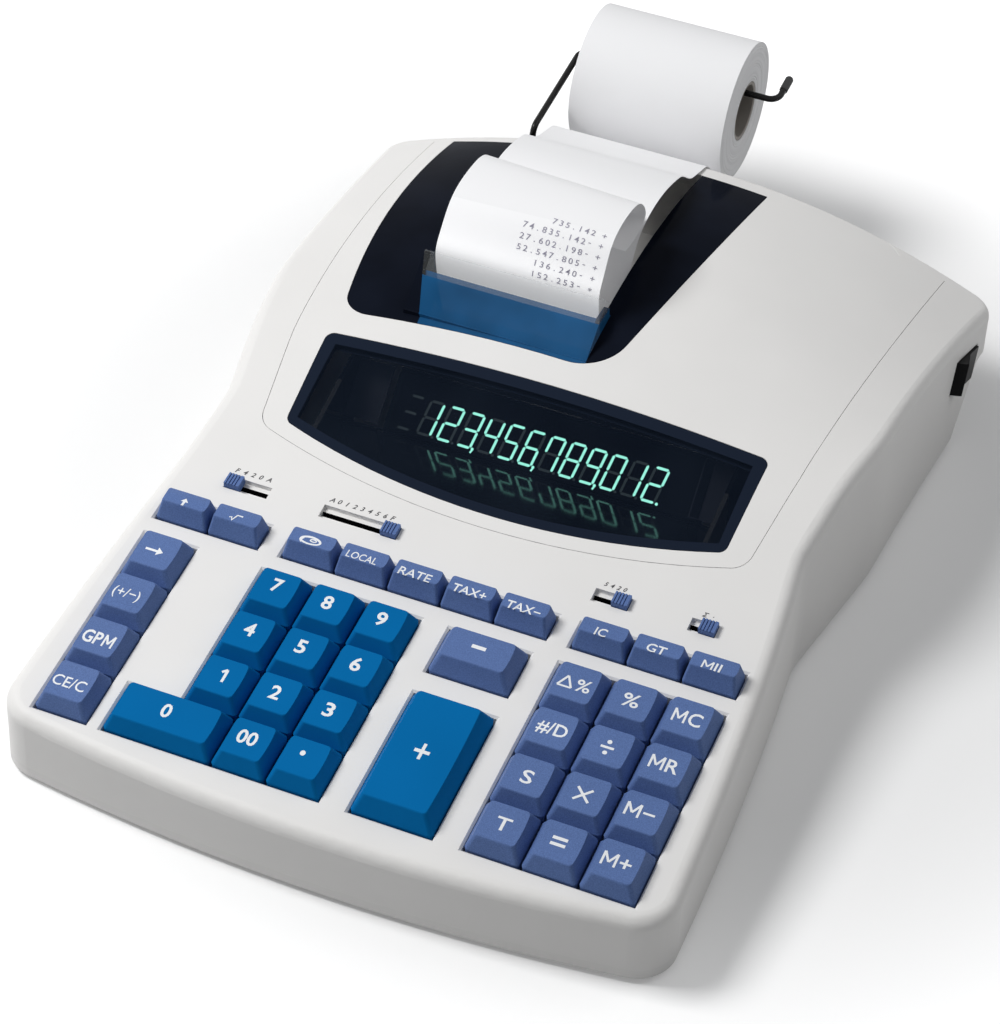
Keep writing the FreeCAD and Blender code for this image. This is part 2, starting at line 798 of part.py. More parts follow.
KEY_KINDS = {
    "standard": ("key_pitch", "row_pitch", "key_height", "key_side_slope", "key_side_slope",
                 "key_corner_radius"),
    "double": ("2 * key_pitch", "row_pitch", "key_height", "key_side_slope", "key_side_slope",
               "key_corner_radius"),
    "plus": ("total_key_width", "plus_key_depth", "large_key_height", "large_key_slope",
             "large_key_slope", "key_corner_radius"),
    "minus": ("total_key_width", "minus_key_depth", "large_key_height", "large_key_slope",
              "large_key_slope", "key_corner_radius"),
    "small": ("key_pitch", "small_row_depth", "small_key_height", "small_key_side_slope",
              "small_key_front_slope", "small_key_corner_radius"),
}
caps = {}
for kind, (across, along, height, side_slope, front_slope, corner) in KEY_KINDS.items():
    shell, stem = key_cap(kind, across, along, height, side_slope, front_slope, corner)
    reach = "(%s - key_gap - %s - %s)" % (along, side_slope, front_slope)
    turn = Rotation(Vector(0, 1, 0), 90)
    hollow, radius = dish(kind, height, reach, across, turn)
    place(hollow, "-(%s) / 2" % across, "(%s - %s) / 2" % (front_slope, side_slope),
          "%s + %s - dish_depth" % (height, radius))
    body = fuse(kind + "_cap", shell, stem)
    caps[kind] = cut(kind + "_key", body, hollow)

for node, kind, (x, y, across, along) in keys:
    copy = doc.addObject("Part::Compound", node)
    copy.Links = [caps[kind]]
    on_deck(copy, "%s + (%s) / 2" % (x, across), "%s + (%s) / 2" % (y, along))
    sub_part(node, copy)


# Slide switch knobs
def slide_knob():
    """One knob with its ribbed top and its stem, built about the left end of its foot."""
    body = box("knob_block", "0", "slide_knob_length", "slide_play", "slot_width - slide_play",
               "slide_play - slot_recess", "slide_knob_height")
    grooves = []
    for groove in range(4):
        grooves.append(box("knob_groove_%d" % groove, "(%d + 0.6) * slide_knob_length / 5" % groove,
                           "(%d + 0.95) * slide_knob_length / 5" % groove, "0", "slot_width",
                           "slide_knob_height - knob_groove_depth", "slide_knob_height + 1"))
    ribbed = cut("knob_ribbed", body, fuse("knob_grooves", *grooves))
    stem = box("knob_stem", "slide_knob_length / 4", "slide_knob_length * 3 / 4",
               "slot_width / 2 - slot_slit / 2 + slide_play",
               "slot_width / 2 + slot_slit / 2 - slide_play",
               "-slide_stem_length", "0")
    return fuse("slide_knob", ribbed, stem)


knob = slide_knob()
for node, at_right in slides:
    copy = doc.addObject("Part::Compound", node + "_knob")
    copy.Links = [knob]
    start = "%s_x + slide_play" % node
    if at_right:
        start = "%s_x + %s_length - slide_knob_length - slide_play" % (node, node)
    on_deck(copy, start, "slot_y")
    sub_part(node + "_knob", copy)


# Top housing
def key_trays():
    """The trays under the wells, with a guide hole for each stem, and the openings above them."""
    margin = size("well_margin")
    wall = size("tray_wall")
    floor = -size("tray_floor_depth")
    outside = []
    inside = []
    rims = []
    for x0, x1, y0, y1 in well_rectangles:
        left = number(x0) - margin
        right = number(x1) + margin
        front = number(y0) - margin
        rear = number(y1) + margin
        outside.append(block(left - wall, right + wall, front - wall, rear + wall,
                             floor - wall, -size("wall") / 2))
        room = block(left, right, front, rear, floor, size("key_height"))
        inside.append(room)
        rims.append(room.fuse(frustum(left, right, front, rear, -size("well_chamfer"), 1.0,
                                      size("well_chamfer") + 1.0)))
    half = size("stem_width") / 2 + size("stem_fit")
    for kind_number, (x, y) in enumerate(stem_centres()):
        along = number(keys[kind_number][2][3])
        narrow = min(size("stem_width"), along - 2 * size("cap_wall") - size("key_gap"))
        reach = narrow / 2 + size("stem_fit")
        inside.append(block(x - half, x + half, y - reach, y + reach, floor - 2 * wall, 0))
    trays = outside[0].multiFuse(outside[1:]).cut(Part.makeCompound(inside))
    return trays, rims[0].multiFuse(rims[1:])


def slide_slots():
    """The recess of each slide switch and the slit through its floor."""
    tools = []
    for node, at_right in slides:
        left = size(node + "_x")
        right = left + size(node + "_length")
        middle = size("slot_y") + size("slot_width") / 2
        slit = size("slot_slit") / 2
        tools.append(block(left, right, size("slot_y"), size("slot_y") + size("slot_width"),
                           -size("slot_recess"), 2))
        tools.append(block(left, right, middle - slit, middle + slit, -2 * size("wall"), 2))
    return tools


def screw_places():
    """Two screws between the key blocks and two behind, in plan."""
    tilt = math.radians(size("deck_tilt"))
    between_rows = size("deck_y") + 2.2 * size("row_pitch") * math.cos(tilt)
    left_x = (size("edit_keys_x") + size("figure_keys_x")) / 2 + size("key_pitch")
    right_x = (size("total_keys_x") + size("total_key_width") + size("function_keys_x")) / 2
    rear_x = size("rear_half_width") - size("wall") - 2 * size("boss_radius") - size("boss_spacing")
    rear_y = size("foot_rear_y") - size("foot_radius") - size("boss_radius") - size("boss_spacing")
    return [Vector(left_x, between_rows, 0), Vector(right_x, between_rows, 0),
            Vector(-rear_x, rear_y, 0), Vector(rear_x, rear_y, 0)]


def flank_x(y):
    """Half width of the housing at y, on the curve from the shoulder to the rear corner."""
    ends = [(size("shoulder_y"), size("shoulder_half_width")), (size("flank_y"), size("flank_half_width")),
            (size("rear_corner_y"), size("rear_half_width"))]
    total = 0.0
    for own_y, own_x in ends:
        weight = 1.0
        for other_y, other_x in ends:
            if other_y != own_y:
                weight *= (y - other_y) / (own_y - other_y)
        total += weight * own_x
    return total


def rocker_frame():
    """Placement of the power switch: x points out of the wall, y along the rocker."""
    middle = size("rocker_y")
    reach = size("rocker_radius")
    lean = math.degrees(math.atan2(flank_x(middle + reach) - flank_x(middle - reach), 2 * reach))
    turn = Rotation(Vector(0, 0, 1), -lean).multiply(Rotation(Vector(1, 0, 0), -size("rocker_slant")))
    pivot = Vector(flank_x(middle), middle, size("rocker_height")) - turn.multVec(
        Vector(size("rocker_depth"), 0, 0))
    return Placement(pivot, turn)


def rocker_hole():
    depth = size("rocker_depth")
    half = math.sqrt(size("rocker_radius") ** 2 - (depth - size("wall")) ** 2) + size("rocker_clearance")
    rise = size("rocker_width") / 2 + size("rocker_clearance")
    hole = block(-size("rocker_radius"), size("rocker_radius"), -half, half, -rise, rise)
    hole.Placement = rocker_frame()
    return hole


def wire_points():
    """Corners of the wire that carries the roll."""
    height = size("roll_height") + size("core_radius") - size("wire_gap") - size("wire_radius")
    arm = size("wire_arm_x")
    end = size("wire_end_x")
    return [
        Vector(arm, size("wire_socket_y"), size("wire_socket_bottom")),
        Vector(arm, size("wire_socket_y"), size("wire_rise_height")),
        Vector(arm, size("roll_y"), height),
        Vector(end, size("roll_y"), height),
        Vector(end, size("roll_y") + size("wire_hook"), height + size("wire_hook_rise")),
    ]


def wire_socket():
    """The boss that holds the wire, and its bore."""
    foot = wire_points()[0]
    top = Vector(foot.x, foot.y, CEILING)
    boss = rod(size("wire_boss_radius"), foot - Vector(0, 0, size("ledge_thickness")), top)
    bore = rod(size("wire_radius") + size("wire_fit"), foot - Vector(0, 0, size("wire_fit")), top)
    return boss, bore


def top_housing():
    trays, rims = key_trays()
    openings = [rims] + slide_slots()
    shell = upper_case.cut(Part.makeCompound([deck_shape(piece) for piece in openings]))
    shell = shell.cut(panel_zone(size("seam_gap")))
    under_skin = housing_volume(size("wall") / 2, floor_z)
    ahead = block(-SHEET_REACH, SHEET_REACH, -2 * SHEET_REACH, size("lid_rear_y"), 0, CEILING)
    ledge = seat_ring(panel_zone, size("ledge_width")).common(ahead).common(under_skin)
    additions = [deck_shape(trays), ledge]
    bores = []
    low = size("screw_seat_height") + size("screw_head_height") + size("screw_fit")
    for spot in screw_places():
        boss = rod(size("boss_radius"), spot + Vector(0, 0, low), spot + Vector(0, 0, CEILING))
        additions.append(boss.common(under_skin))
        bores.append(rod(size("screw_radius") + size("screw_fit") / 2, spot,
                         spot + Vector(0, 0, size("screw_seat_height") + size("screw_length")
                                + size("screw_end_room"))))
    cord_middle = Vector(size("cord_hole_x"), size("rear_y"), size("cord_hole_height"))
    inward = Vector(0, size("rear_y") - size("undercut_foot_y"), 0)
    cord_hole = rod(size("cord_hole_radius"), cord_middle - inward, cord_middle)
    tools = bores + [rocker_hole(), cord_hole]
    return shell.multiFuse(additions).cut(Part.makeCompound(tools)).removeSplitter()


feature("top_housing", top_housing())


# Bottom housing
def board_plane(depth):
    """Everything below a plane parallel to the deck."""
    reach = 2 * SHEET_REACH
    return deck_shape(block(-reach, reach, -reach, reach, -CEILING - depth, -depth))


def board_depth():
    """Depth of the board's upper face under the deck, below the stems of pressed keys."""
    return size("stem_length") + size("key_travel") + size("board_clearance")


def board_posts():
    inset = size("post_inset")
    rows = [size("board_front") + inset, size("board_rear") - inset]
    tilt = math.radians(size("deck_tilt"))
    places = []
    for along in rows:
        for side in (-1, 1):
            y = size("deck_y") + along * math.cos(tilt) + board_depth() * math.sin(tilt)
            places.append(Vector(side * (size("board_half_width") - inset), y, 0))
    return places


def feet_places():
    return [Vector(side * size("foot_x"), y, 0) for y in (size("foot_front_y"), size("foot_rear_y"))
            for side in (-1, 1)]


def bottom_housing():
    tub = case.cut(wide)
    lip_inset = size("wall") + size("lip_gap")
    lip_top = block(-SHEET_REACH, SHEET_REACH, -2 * SHEET_REACH, 2 * SHEET_REACH, floor_z - 0.5,
                    parting_z + size("lip_height"))
    lip = housing_volume(lip_inset, floor_z - 0.5).cut(
        housing_volume(lip_inset + size("lip_thickness"), floor_z - 1.0)).common(lip_top)
    additions = [lip]
    tools = []
    under_board = board_plane(board_depth() + size("board_thickness"))
    for spot in board_posts():
        post = rod(size("post_radius"), spot + Vector(0, 0, base_z + 1), spot + Vector(0, 0, CEILING))
        additions.append(post.common(under_board))
    seat = size("screw_seat_height")
    head_room = size("screw_head_radius") + size("screw_fit")
    for spot in screw_places():
        top = seat + size("screw_head_height")
        additions.append(rod(head_room + size("screw_well_wall"), spot + Vector(0, 0, base_z + 0.5), spot + Vector(0, 0, top)))
        tools.append(rod(head_room, spot, spot + Vector(0, 0, seat)))
        tools.append(rod(size("screw_radius") + size("screw_fit"), spot, spot + Vector(0, 0, top + 1)))
    for spot in feet_places():
        tools.append(rod(size("foot_radius") + size("screw_fit"), spot,
                         spot + Vector(0, 0, base_z + size("foot_recess"))))
    half_x = size("printer_foot_width") / 2
    half_y = size("printer_foot_length") / 2
    for y in (size("platen_y") - size("printer_foot_spread"), size("platen_y") + size("printer_foot_spread")):
        for side in (-1, 1):
            x = size("paper_x") + side * plate_middle()
            additions.append(block(x - half_x, x + half_x, y - half_y, y + half_y, base_z + 1, printer_seat()))
    return tub.multiFuse(additions).cut(Part.makeCompound(tools)).removeSplitter()


def plate_middle():
    """From the middle of the paper to the middle of a printer side plate."""
    return size("paper_width") / 2 + size("plate_clearance") + size("side_plate_thickness") / 2


def printer_seat():
    """Height at which the printer stands on the bottom housing."""
    return floor_z + size("printer_foot_height")


feature("bottom_housing", bottom_housing())


# Centre panel
def centre_panel():
    skin = upper_case.common(panel_zone(0))
    skin = skin.cut(window_zone(size("seam_gap"))).cut(lid_zone(size("seam_gap")))
    window_seat = seat_ring(window_zone, size("ledge_width") / 2)
    lid_seat = seat_ring(lid_zone, size("ledge_width"))
    well = block(size("paper_x") - size("well_half_width") - size("cheek_thickness") - 1,
                 size("paper_x") + size("well_half_width") + size("cheek_thickness") + 1,
                 size("hood_front_y") - 1, size("rear_y"), 0, CEILING)
    inside = housing_volume(size("wall") - size("seat_gap"), floor_z)
    boss, bore = wire_socket()
    lid_seat = lid_seat.cut(well).common(inside).common(panel_zone(0))
    additions = [window_seat, lid_seat, boss.common(inside)]
    return skin.multiFuse(additions).cut(bore).removeSplitter()


feature("centre_panel", centre_panel())
feature("display_window", upper_case.common(window_zone(0)))


# Printer lid
def side_plate(points, x0, x1):
    """A plate between x0 and x1, from its outline in y and z."""
    corners = [Vector(x0, y, z) for y, z in points]
    return Part.Face(Part.makePolygon(corners + corners[:1])).extrude(Vector(x1 - x0, 0, 0))


def printer_lid():
    """The lid's skin, the hood up to the tear edge and the cheeks beside the paper."""
    left = size("paper_x") - size("well_half_width")
    right = size("paper_x") + size("well_half_width")
    cheek = size("cheek_thickness")
    front = size("hood_front_y")
    rear = size("lid_rear_y")
    tear_y = size("tear_y")
    tear_z = size("tear_height")
    thick = size("hood_thickness")
    skin = upper_case.common(lid_zone(0))
    opening = block(left, right, front, rear + 20, 0, CEILING)
    skin = skin.cut(opening)
    foot_z = centre_height(front) - size("wall")
    rise = math.atan2(tear_z - foot_z - size("wall"), tear_y - front)
    drop = thick / math.cos(rise)
    foot_top = foot_z + size("wall")
    foot_y = front - size("hood_foot")
    edge = size("tear_edge")
    ramp = side_plate([(foot_y, foot_z), (foot_y, foot_top), (front, foot_top), (tear_y, tear_z),
                       (tear_y, tear_z - edge), (tear_y - edge, tear_z - drop), (front + thick, foot_z)],
                      left - cheek, right + cheek)
    wing_y = tear_y + size("wing_foot")
    under = size("cheek_depth")
    pieces = [skin, ramp]
    for x0, x1 in ((left - cheek, left), (right, right + cheek)):
        wing = side_plate([(foot_y, foot_z), (front, foot_top), (tear_y, tear_z),
                           (tear_y + size("wing_tip"), tear_z - cheek), (wing_y, centre_height(tear_y) - thick),
                           (wing_y, centre_height(tear_y) - under), (foot_y, centre_height(front) - under)], x0, x1)
        wall = block(x0, x1, front, rear, 0, CEILING).common(layer(0, under))
        pieces += [wing, wall]
    return pieces[0].multiFuse(pieces[1:]).removeSplitter()


feature("printer_lid", printer_lid())


# Display tube and the dark tray that holds it
def display_tube():
    lean = Rotation(Vector(1, 0, 0), size("tube_tilt"))
    half = size("tube_width") / 2
    rise = size("tube_rise") / 2
    glass = block(-half, half, -rise, rise, -size("tube_thickness"), 0)
    glass = glass.makeFillet(size("tube_edge_radius"), [e for e in glass.Edges if abs(e.tangentAt(e.FirstParameter).x) > 0.9])
    glass.Placement = Placement(Vector(size("tube_x"), size("tube_y"), size("tube_height")), lean)
    return glass


def display_tray():
    """A floor from the window's front edge down to the foot of the tube, with two end walls."""
    half = size("tray_half_width")
    lean = math.radians(size("tube_tilt"))
    rise = size("tube_rise") / 2
    thick = size("tray_thickness")
    under_ledge = size("wall") + size("ledge_thickness") + size("seam_gap")
    foot_y = size("tube_y") - rise * math.cos(lean) - size("paper_clearance")
    foot_z = size("tube_height") - rise * math.sin(lean) - size("paper_clearance")
    front = size("tray_front_y")
    front_z = centre_height(front) - under_ledge
    back_y = size("tube_y") + (rise + 1) * math.cos(lean) + size("tube_thickness") * math.sin(lean)
    back_z = top_height(half, back_y) - under_ledge
    drop = size("tube_thickness")
    floor = side_plate([(front, front_z), (front, front_z - thick), (foot_y, foot_z - drop),
                         (foot_y + drop, foot_z - drop), (foot_y + drop, foot_z + thick - drop), (foot_y, foot_z)],
                        -half, half)
    ends = []
    for x0 in (-half, half - thick):
        ends.append(side_plate([(front, front_z - thick), (front, front_z), (back_y, back_z),
                                 (back_y, foot_z - drop), (foot_y, foot_z - drop)], x0, x0 + thick))
    return floor.multiFuse(ends)


tube = display_tube()
tray = display_tray()
feature("display_tube", Part.makeCompound([tube, tray.cut(tube)]))

# Paper roll
roll_left = "paper_x - roll_width / 2"
roll_body = cylinder_x("roll_body", "roll_radius", "roll_width", roll_left, "roll_y", "roll_height")
roll_bore = cylinder_x("roll_bore", "core_radius", "roll_width", roll_left, "roll_y", "roll_height")
sub_part("paper_roll", cut("paper_roll", roll_body, roll_bore))


# Wire that carries the roll
def rounded_path(points, radius):
    """Straight runs joined by tangent arcs."""
    edges = []
    start = points[0]
    for before, corner, after in zip(points, points[1:], points[2:]):
        inward = (before - corner).normalize()
        outward = (after - corner).normalize()
        turn = math.pi - inward.getAngle(outward)
        reach = radius * math.tan(turn / 2)
        entry = corner + inward * reach
        leave = corner + outward * reach
        middle = corner + (inward + outward).normalize() * (radius / math.cos(turn / 2) - radius)
        edges.append(Part.makeLine(start, entry))
        edges.append(arc(entry, middle, leave))
        start = leave
    edges.append(Part.makeLine(start, points[-1]))
    return Part.Wire(edges)


def roll_wire():
    path = rounded_path(wire_points(), size("wire_bend"))
    first = path.Edges[0]
    section = Part.Wire(Part.makeCircle(size("wire_radius"), first.Vertexes[0].Point,
                                        first.tangentAt(first.FirstParameter)))
    return path.makePipeShell([section], True, True)


feature("roll_wire", roll_wire())


# Paper web
def web_path():
    """The web's line in y and z: off the roll, over the rear rim, round the platen, past the tear
    edge, then over in a loose curl."""
    gap = size("paper_clearance") + size("paper_thickness")
    rim_y = size("rear_y") - size("rim_radius")
    rim = rim_y, centre_height(rim_y) - size("rim_radius")
    roll = size("roll_y"), size("roll_height")
    over = size("rim_radius") + gap
    under = size("roll_radius") + gap
    apart = math.hypot(roll[0] - rim[0], roll[1] - rim[1])
    slope = math.atan2(roll[1] - rim[1], roll[0] - rim[0]) - math.asin((over + under) / apart)
    leave = roll[0] + under * math.sin(slope), roll[1] - under * math.cos(slope)
    meet = rim[0] - over * math.sin(slope), rim[1] + over * math.cos(slope)
    spots = []
    for share in range(6):
        spots.append((leave[0] + (meet[0] - leave[0]) * share / 5, leave[1] + (meet[1] - leave[1]) * share / 5))
    for before_rim, lift in ((2.0, 0.8), (8.0, 1.1), (14.0, 2.0), (19.5, 4.7), (25.0, 7.6), (31.5, 9.0),
                             (39.5, 9.9), (48.5, 10.1), (56.5, 9.2), (65.0, 6.3)):
        y = rim_y - before_rim
        spots.append((y, centre_height(y) + lift))
    platen = size("platen_radius") + gap
    y = size("platen_y")
    z = size("platen_height")
    for past, lift in ((platen + 10.4, 21.3), (platen + 4.9, 11.3)):
        spots.append((y + past, z + lift))
    for angle in range(0, -181, -30):
        turn = math.radians(angle)
        spots.append((y + platen * math.cos(turn), z + platen * math.sin(turn)))
    for past, lift in ((5.6, -20.6), (3.2, -11.6), (1.6, -4.6), (1.6, 1.0), (6.4, 5.6), (10.4, 11.6),
                       (18.8, 17.4), (31.5, 14.0), (40.6, 10.0), (42.4, 5.0), (37.0, 2.3), (24.5, 2.4)):
        spots.append((size("tear_y") + past, size("tear_height") + lift))
    return [Vector(0, a, b) for a, b in spots]


def paper_web():
    line = Part.BSplineCurve()
    line.interpolate(web_path())
    count = 8 * len(web_path())
    first, last = line.FirstParameter, line.LastParameter
    thick = []
    for step in range(count + 1):
        parameter = first + (last - first) * step / count
        along = line.tangent(parameter)[0]
        thick.append(line.value(parameter) + Vector(0, -along.z, along.y) * size("paper_thickness"))
    other = Part.BSplineCurve()
    other.interpolate(thick)
    edges = [line.toShape(), Part.makeLine(line.EndPoint, other.EndPoint), other.toShape(),
             Part.makeLine(other.StartPoint, line.StartPoint)]
    strip = Part.Face(Part.Wire(Part.__sortEdges__(edges)))
    strip.translate(Vector(size("paper_x") - size("paper_width") / 2, 0, 0))
    return strip.extrude(Vector(size("paper_width"), 0, 0))


feature("paper_web", paper_web())

# Platen and ink roller
plate_outer = "(paper_width / 2 + plate_clearance + side_plate_thickness)"
platen_body = cylinder_x("platen_body", "platen_radius", "platen_length",
                         "paper_x - platen_length / 2", "platen_y", "platen_height")
platen_shaft = cylinder_x("platen_shaft", "shaft_radius", "2 * %s + 8" % plate_outer,
                          "paper_x - %s - 6" % plate_outer, "platen_y", "platen_height")
platen_gear = cylinder_x("platen_gear", "platen_radius - 1", "4",
                         "paper_x - %s - 5" % plate_outer, "platen_y", "platen_height")
sub_part("platen_roller", fuse("platen_roller", platen_body, platen_shaft, platen_gear))

ink_y = "(platen_y - platen_radius - print_gap - print_block_depth - 2)"
ink_z = "(platen_height - ink_roller_drop)"
ink_body = cylinder_x("ink_body", "ink_roller_radius", "ink_roller_length",
                      "paper_x - ink_roller_length / 2", ink_y, ink_z)
ink_shaft = cylinder_x("ink_shaft", "shaft_radius / 2", "2 * %s + 1" % plate_outer,
                       "paper_x - %s - 0.5" % plate_outer, ink_y, ink_z)
sub_part("ink_roller", fuse("ink_roller", ink_body, ink_shaft))


# Printer frame
def printer_frame():
    """Two side plates tied by bars, with the print block and the motor."""
    seat = printer_seat()
    y = size("platen_y")
    z = size("platen_height")
    thick = size("side_plate_thickness")
    half = size("plate_half_length")
    rise = size("plate_rise")
    bar = size("tie_bar_radius")
    pieces = []
    for side in (-1, 1):
        x = size("paper_x") + side * plate_middle() - thick / 2
        outline = [(y - half, seat), (y + half, seat), (y + half, z - 2 * rise), (y + 1.5 * rise, z + rise),
                   (y - 1.5 * rise, z + rise), (y - half, z - rise)]
        pieces.append(side_plate(outline, x, x + thick))
    left = size("paper_x") - plate_middle()
    right = size("paper_x") + plate_middle()
    low = seat + 2 * bar
    for bar_y, bar_z in ((y - half + 1.5 * bar, low), (y + half - 2 * bar, low), (y + half / 2, z - 4 * bar)):
        pieces.append(rod(bar, Vector(left, bar_y, bar_z), Vector(right, bar_y, bar_z)))
    rear = y - size("platen_radius") - size("paper_clearance") - 2 * size("paper_thickness") - size("print_gap")
    pieces.append(block(left, right, rear - size("print_block_depth"), rear, z - size("print_block_height"), z))
    motor_z = seat + size("motor_radius") + 2
    pieces.append(rod(size("motor_radius"), Vector(left, y, motor_z),
                      Vector(left + size("motor_length"), y, motor_z)))
    frame = pieces[0].multiFuse(pieces[1:])
    reach = Vector(plate_middle() + 2 * thick, 0, 0)
    ink_y = y - size("platen_radius") - size("print_gap") - size("print_block_depth") - 2
    ink_z = z - size("ink_roller_drop")
    bores = []
    for radius, bore_y, bore_z in ((size("shaft_radius"), y, z), (size("shaft_radius") / 2, ink_y, ink_z)):
        middle = Vector(size("paper_x"), bore_y, bore_z)
        bores.append(rod(radius + size("shaft_fit"), middle - reach, middle + reach))
    return frame.cut(Part.makeCompound(bores)).removeSplitter()


feature("printer_frame", printer_frame())


# Circuit board with its parts, and the transformer
def circuit_board():
    half = size("board_half_width")
    top = -board_depth()
    slab = block(-half, half, size("board_front"), size("board_rear"), top - size("board_thickness"), top)
    parts = [slab]
    for node, at_right in slides:
        left = size(node + "_x")
        parts.append(block(left, left + size(node + "_length"), size("slot_y") - 1,
                           size("slot_y") + size("slot_width") + 1, top - 0.5,
                           -size("slide_stem_length") - size("paper_clearance")))
    board = deck_shape(parts[0].multiFuse(parts[1:]))
    for spot in screw_places():
        board = board.cut(rod(size("boss_radius") + 1, spot, spot + Vector(0, 0, CEILING)))
    x = size("transformer_x")
    y = size("transformer_y")
    transformer = block(x, x + size("transformer_width"), y, y + size("transformer_depth"),
                        floor_z, floor_z + size("transformer_height"))
    return Part.makeCompound([board, transformer])


feature("circuit_board", circuit_board())


# Power rocker
def power_rocker():
    """A rocker with a shallow V face, turned about its pivot to its pressed side."""
    reach = size("rocker_radius")
    half = size("rocker_width") / 2
    ridge = size("rocker_depth") + size("rocker_ridge")
    back = -size("rocker_back")
    end = ridge + reach * math.tan(math.radians(size("rocker_angle")))
    body = Part.makeCylinder(reach, 2 * half, Vector(0, 0, -half))
    profile = [Vector(back, -reach, -half), Vector(end, -reach, -half), Vector(ridge, 0, -half),
               Vector(end, reach, -half), Vector(back, reach, -half)]
    keep = Part.Face(Part.makePolygon(profile + profile[:1])).extrude(Vector(0, 0, 2 * half))
    return body.common(keep)


rocker = feature("power_rocker", power_rocker())
rocker.Placement = rocker_frame().multiply(Placement(Vector(), Rotation(Vector(0, 0, 1), size("rocker_angle"))))

# Rubber feet and case screws
feet = [rod(size("foot_radius"), spot, spot + Vector(0, 0, base_z + size("foot_recess")))
        for spot in feet_places()]
feature("rubber_feet", Part.makeCompound(feet))


def case_screw(spot):
    seat = size("screw_seat_height")
    head = rod(size("screw_head_radius"), spot + Vector(0, 0, seat - size("screw_head_height")),
               spot + Vector(0, 0, seat))
    shank = rod(size("screw_radius"), spot + Vector(0, 0, seat - 0.5), spot + Vector(0, 0, seat + size("screw_length")))
    return head.fuse(shank)


feature("case_screws", Part.makeCompound([case_screw(spot) for spot in screw_places()]))

# Check every object, then write the parts
doc.recompute()
faults = []
for thing in doc.Objects:
    if "Invalid" in thing.State or "Error" in thing.State:
        faults.append("%s is %s" % (thing.Label, thing.State))
for thing in sub_parts:
    if thing.Shape.isNull() or not thing.Shape.isValid() or not thing.Shape.Solids:
        faults.append("%s has no valid shape" % thing.Label)
if faults:
    raise RuntimeError("; ".join(faults))
os.makedirs("parts", exist_ok=True)
for thing in sub_parts:
    thing.Shape.exportStep(os.path.join("parts", thing.Label + ".step"))
print("%d sub-parts written" % len(sub_parts))
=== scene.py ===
import math
import bpy
import numpy as np
from mathutils import Matrix, Vector


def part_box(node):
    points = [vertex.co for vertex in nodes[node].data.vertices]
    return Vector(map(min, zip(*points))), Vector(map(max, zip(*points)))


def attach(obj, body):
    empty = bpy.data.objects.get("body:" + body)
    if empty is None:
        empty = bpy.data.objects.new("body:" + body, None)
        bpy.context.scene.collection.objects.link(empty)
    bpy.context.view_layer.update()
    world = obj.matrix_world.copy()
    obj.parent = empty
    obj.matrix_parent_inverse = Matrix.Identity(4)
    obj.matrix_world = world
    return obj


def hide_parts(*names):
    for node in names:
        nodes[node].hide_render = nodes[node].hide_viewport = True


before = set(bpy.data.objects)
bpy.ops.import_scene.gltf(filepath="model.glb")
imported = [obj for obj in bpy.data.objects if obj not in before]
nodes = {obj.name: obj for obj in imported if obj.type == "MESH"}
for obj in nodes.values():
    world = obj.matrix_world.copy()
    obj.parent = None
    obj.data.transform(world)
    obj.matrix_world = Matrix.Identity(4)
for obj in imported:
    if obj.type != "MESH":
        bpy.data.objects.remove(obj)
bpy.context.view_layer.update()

# A printing calculator. Lengths are metres, and the tables that say so are in mm. The deck has a frame
# of its own, as in the CAD: its origin is the front edge of the keys, y runs up the slope, z is the normal.
MM = 0.001
DECK_TILT = math.radians(8.0)
DECK = Matrix.Translation((0, -179.05 * MM, 26.7 * MM)) @ Matrix.Rotation(DECK_TILT, 4, "X")
TO_DECK = DECK.inverted()

# Camera, at the photograph's viewing angle
camera_data = bpy.data.cameras.new("camera")
camera_data.lens = 122.4
camera_data.sensor_width = 36.0
camera_data.sensor_fit = "HORIZONTAL"
camera_data.clip_start = 0.05
camera = bpy.data.objects.new("camera", camera_data)
camera.location = (0.29323, -0.81415, 0.74675)
camera.rotation_euler = [math.radians(angle) for angle in (49.1127, -2.1289, 22.7849)]
bpy.context.scene.collection.objects.link(camera)
bpy.context.scene.camera = camera
bpy.context.scene.view_settings.view_transform = "Standard"


# Lights and backdrop
def lamp(name, place, aim, side, power):
    """A square soft lamp that points at a spot."""
    data = bpy.data.lights.new(name, "AREA")
    data.size = side
    data.energy = power
    thing = bpy.data.objects.new(name, data)
    thing.location = place
    thing.rotation_euler = (Vector(aim) - Vector(place)).to_track_quat("-Z", "Y").to_euler()
    bpy.context.scene.collection.objects.link(thing)


lamp("key_lamp", (-0.66, -0.24, 0.98), (0.0, -0.04, 0.03), 0.42, 11.3)
lamp("fill_lamp", (0.75, 0.45, 0.95), (0.0, 0.0, 0.03), 0.9, 2.6)


# Shader nodes
def join(tree, start, end):
    """Links what one node gives to a socket of another."""
    tree.links.new(end, start)


def calculate(tree, operation, *values):
    """A math node over values, each a number or what another node gives."""
    made = tree.nodes.new("ShaderNodeMath")
    made.operation = operation
    for socket, value in zip(made.inputs, values):
        if isinstance(value, float):
            socket.default_value = value
        else:
            join(tree, value, socket)
    return made.outputs[0]


def both(tree, first, second):
    """The product of two values, which is 1 where both are."""
    return calculate(tree, "MULTIPLY", first, second)


def compare(tree, value, threshold, above=True):
    """1 where a value is above a threshold, or below it, and 0 elsewhere."""
    return calculate(tree, "GREATER_THAN" if above else "LESS_THAN", value, threshold)


def remap(tree, value, low, high, start=0.0, end=1.0, smooth=False):
    """Maps a value that runs from start to end to the range from low to high."""
    made = tree.nodes.new("ShaderNodeMapRange")
    if smooth:
        made.interpolation_type = "SMOOTHSTEP"
    for socket, limit in (("From Min", start), ("From Max", end), ("To Min", low), ("To Max", high)):
        made.inputs[socket].default_value = limit
    join(tree, value, made.inputs["Value"])
    return made.outputs["Result"]


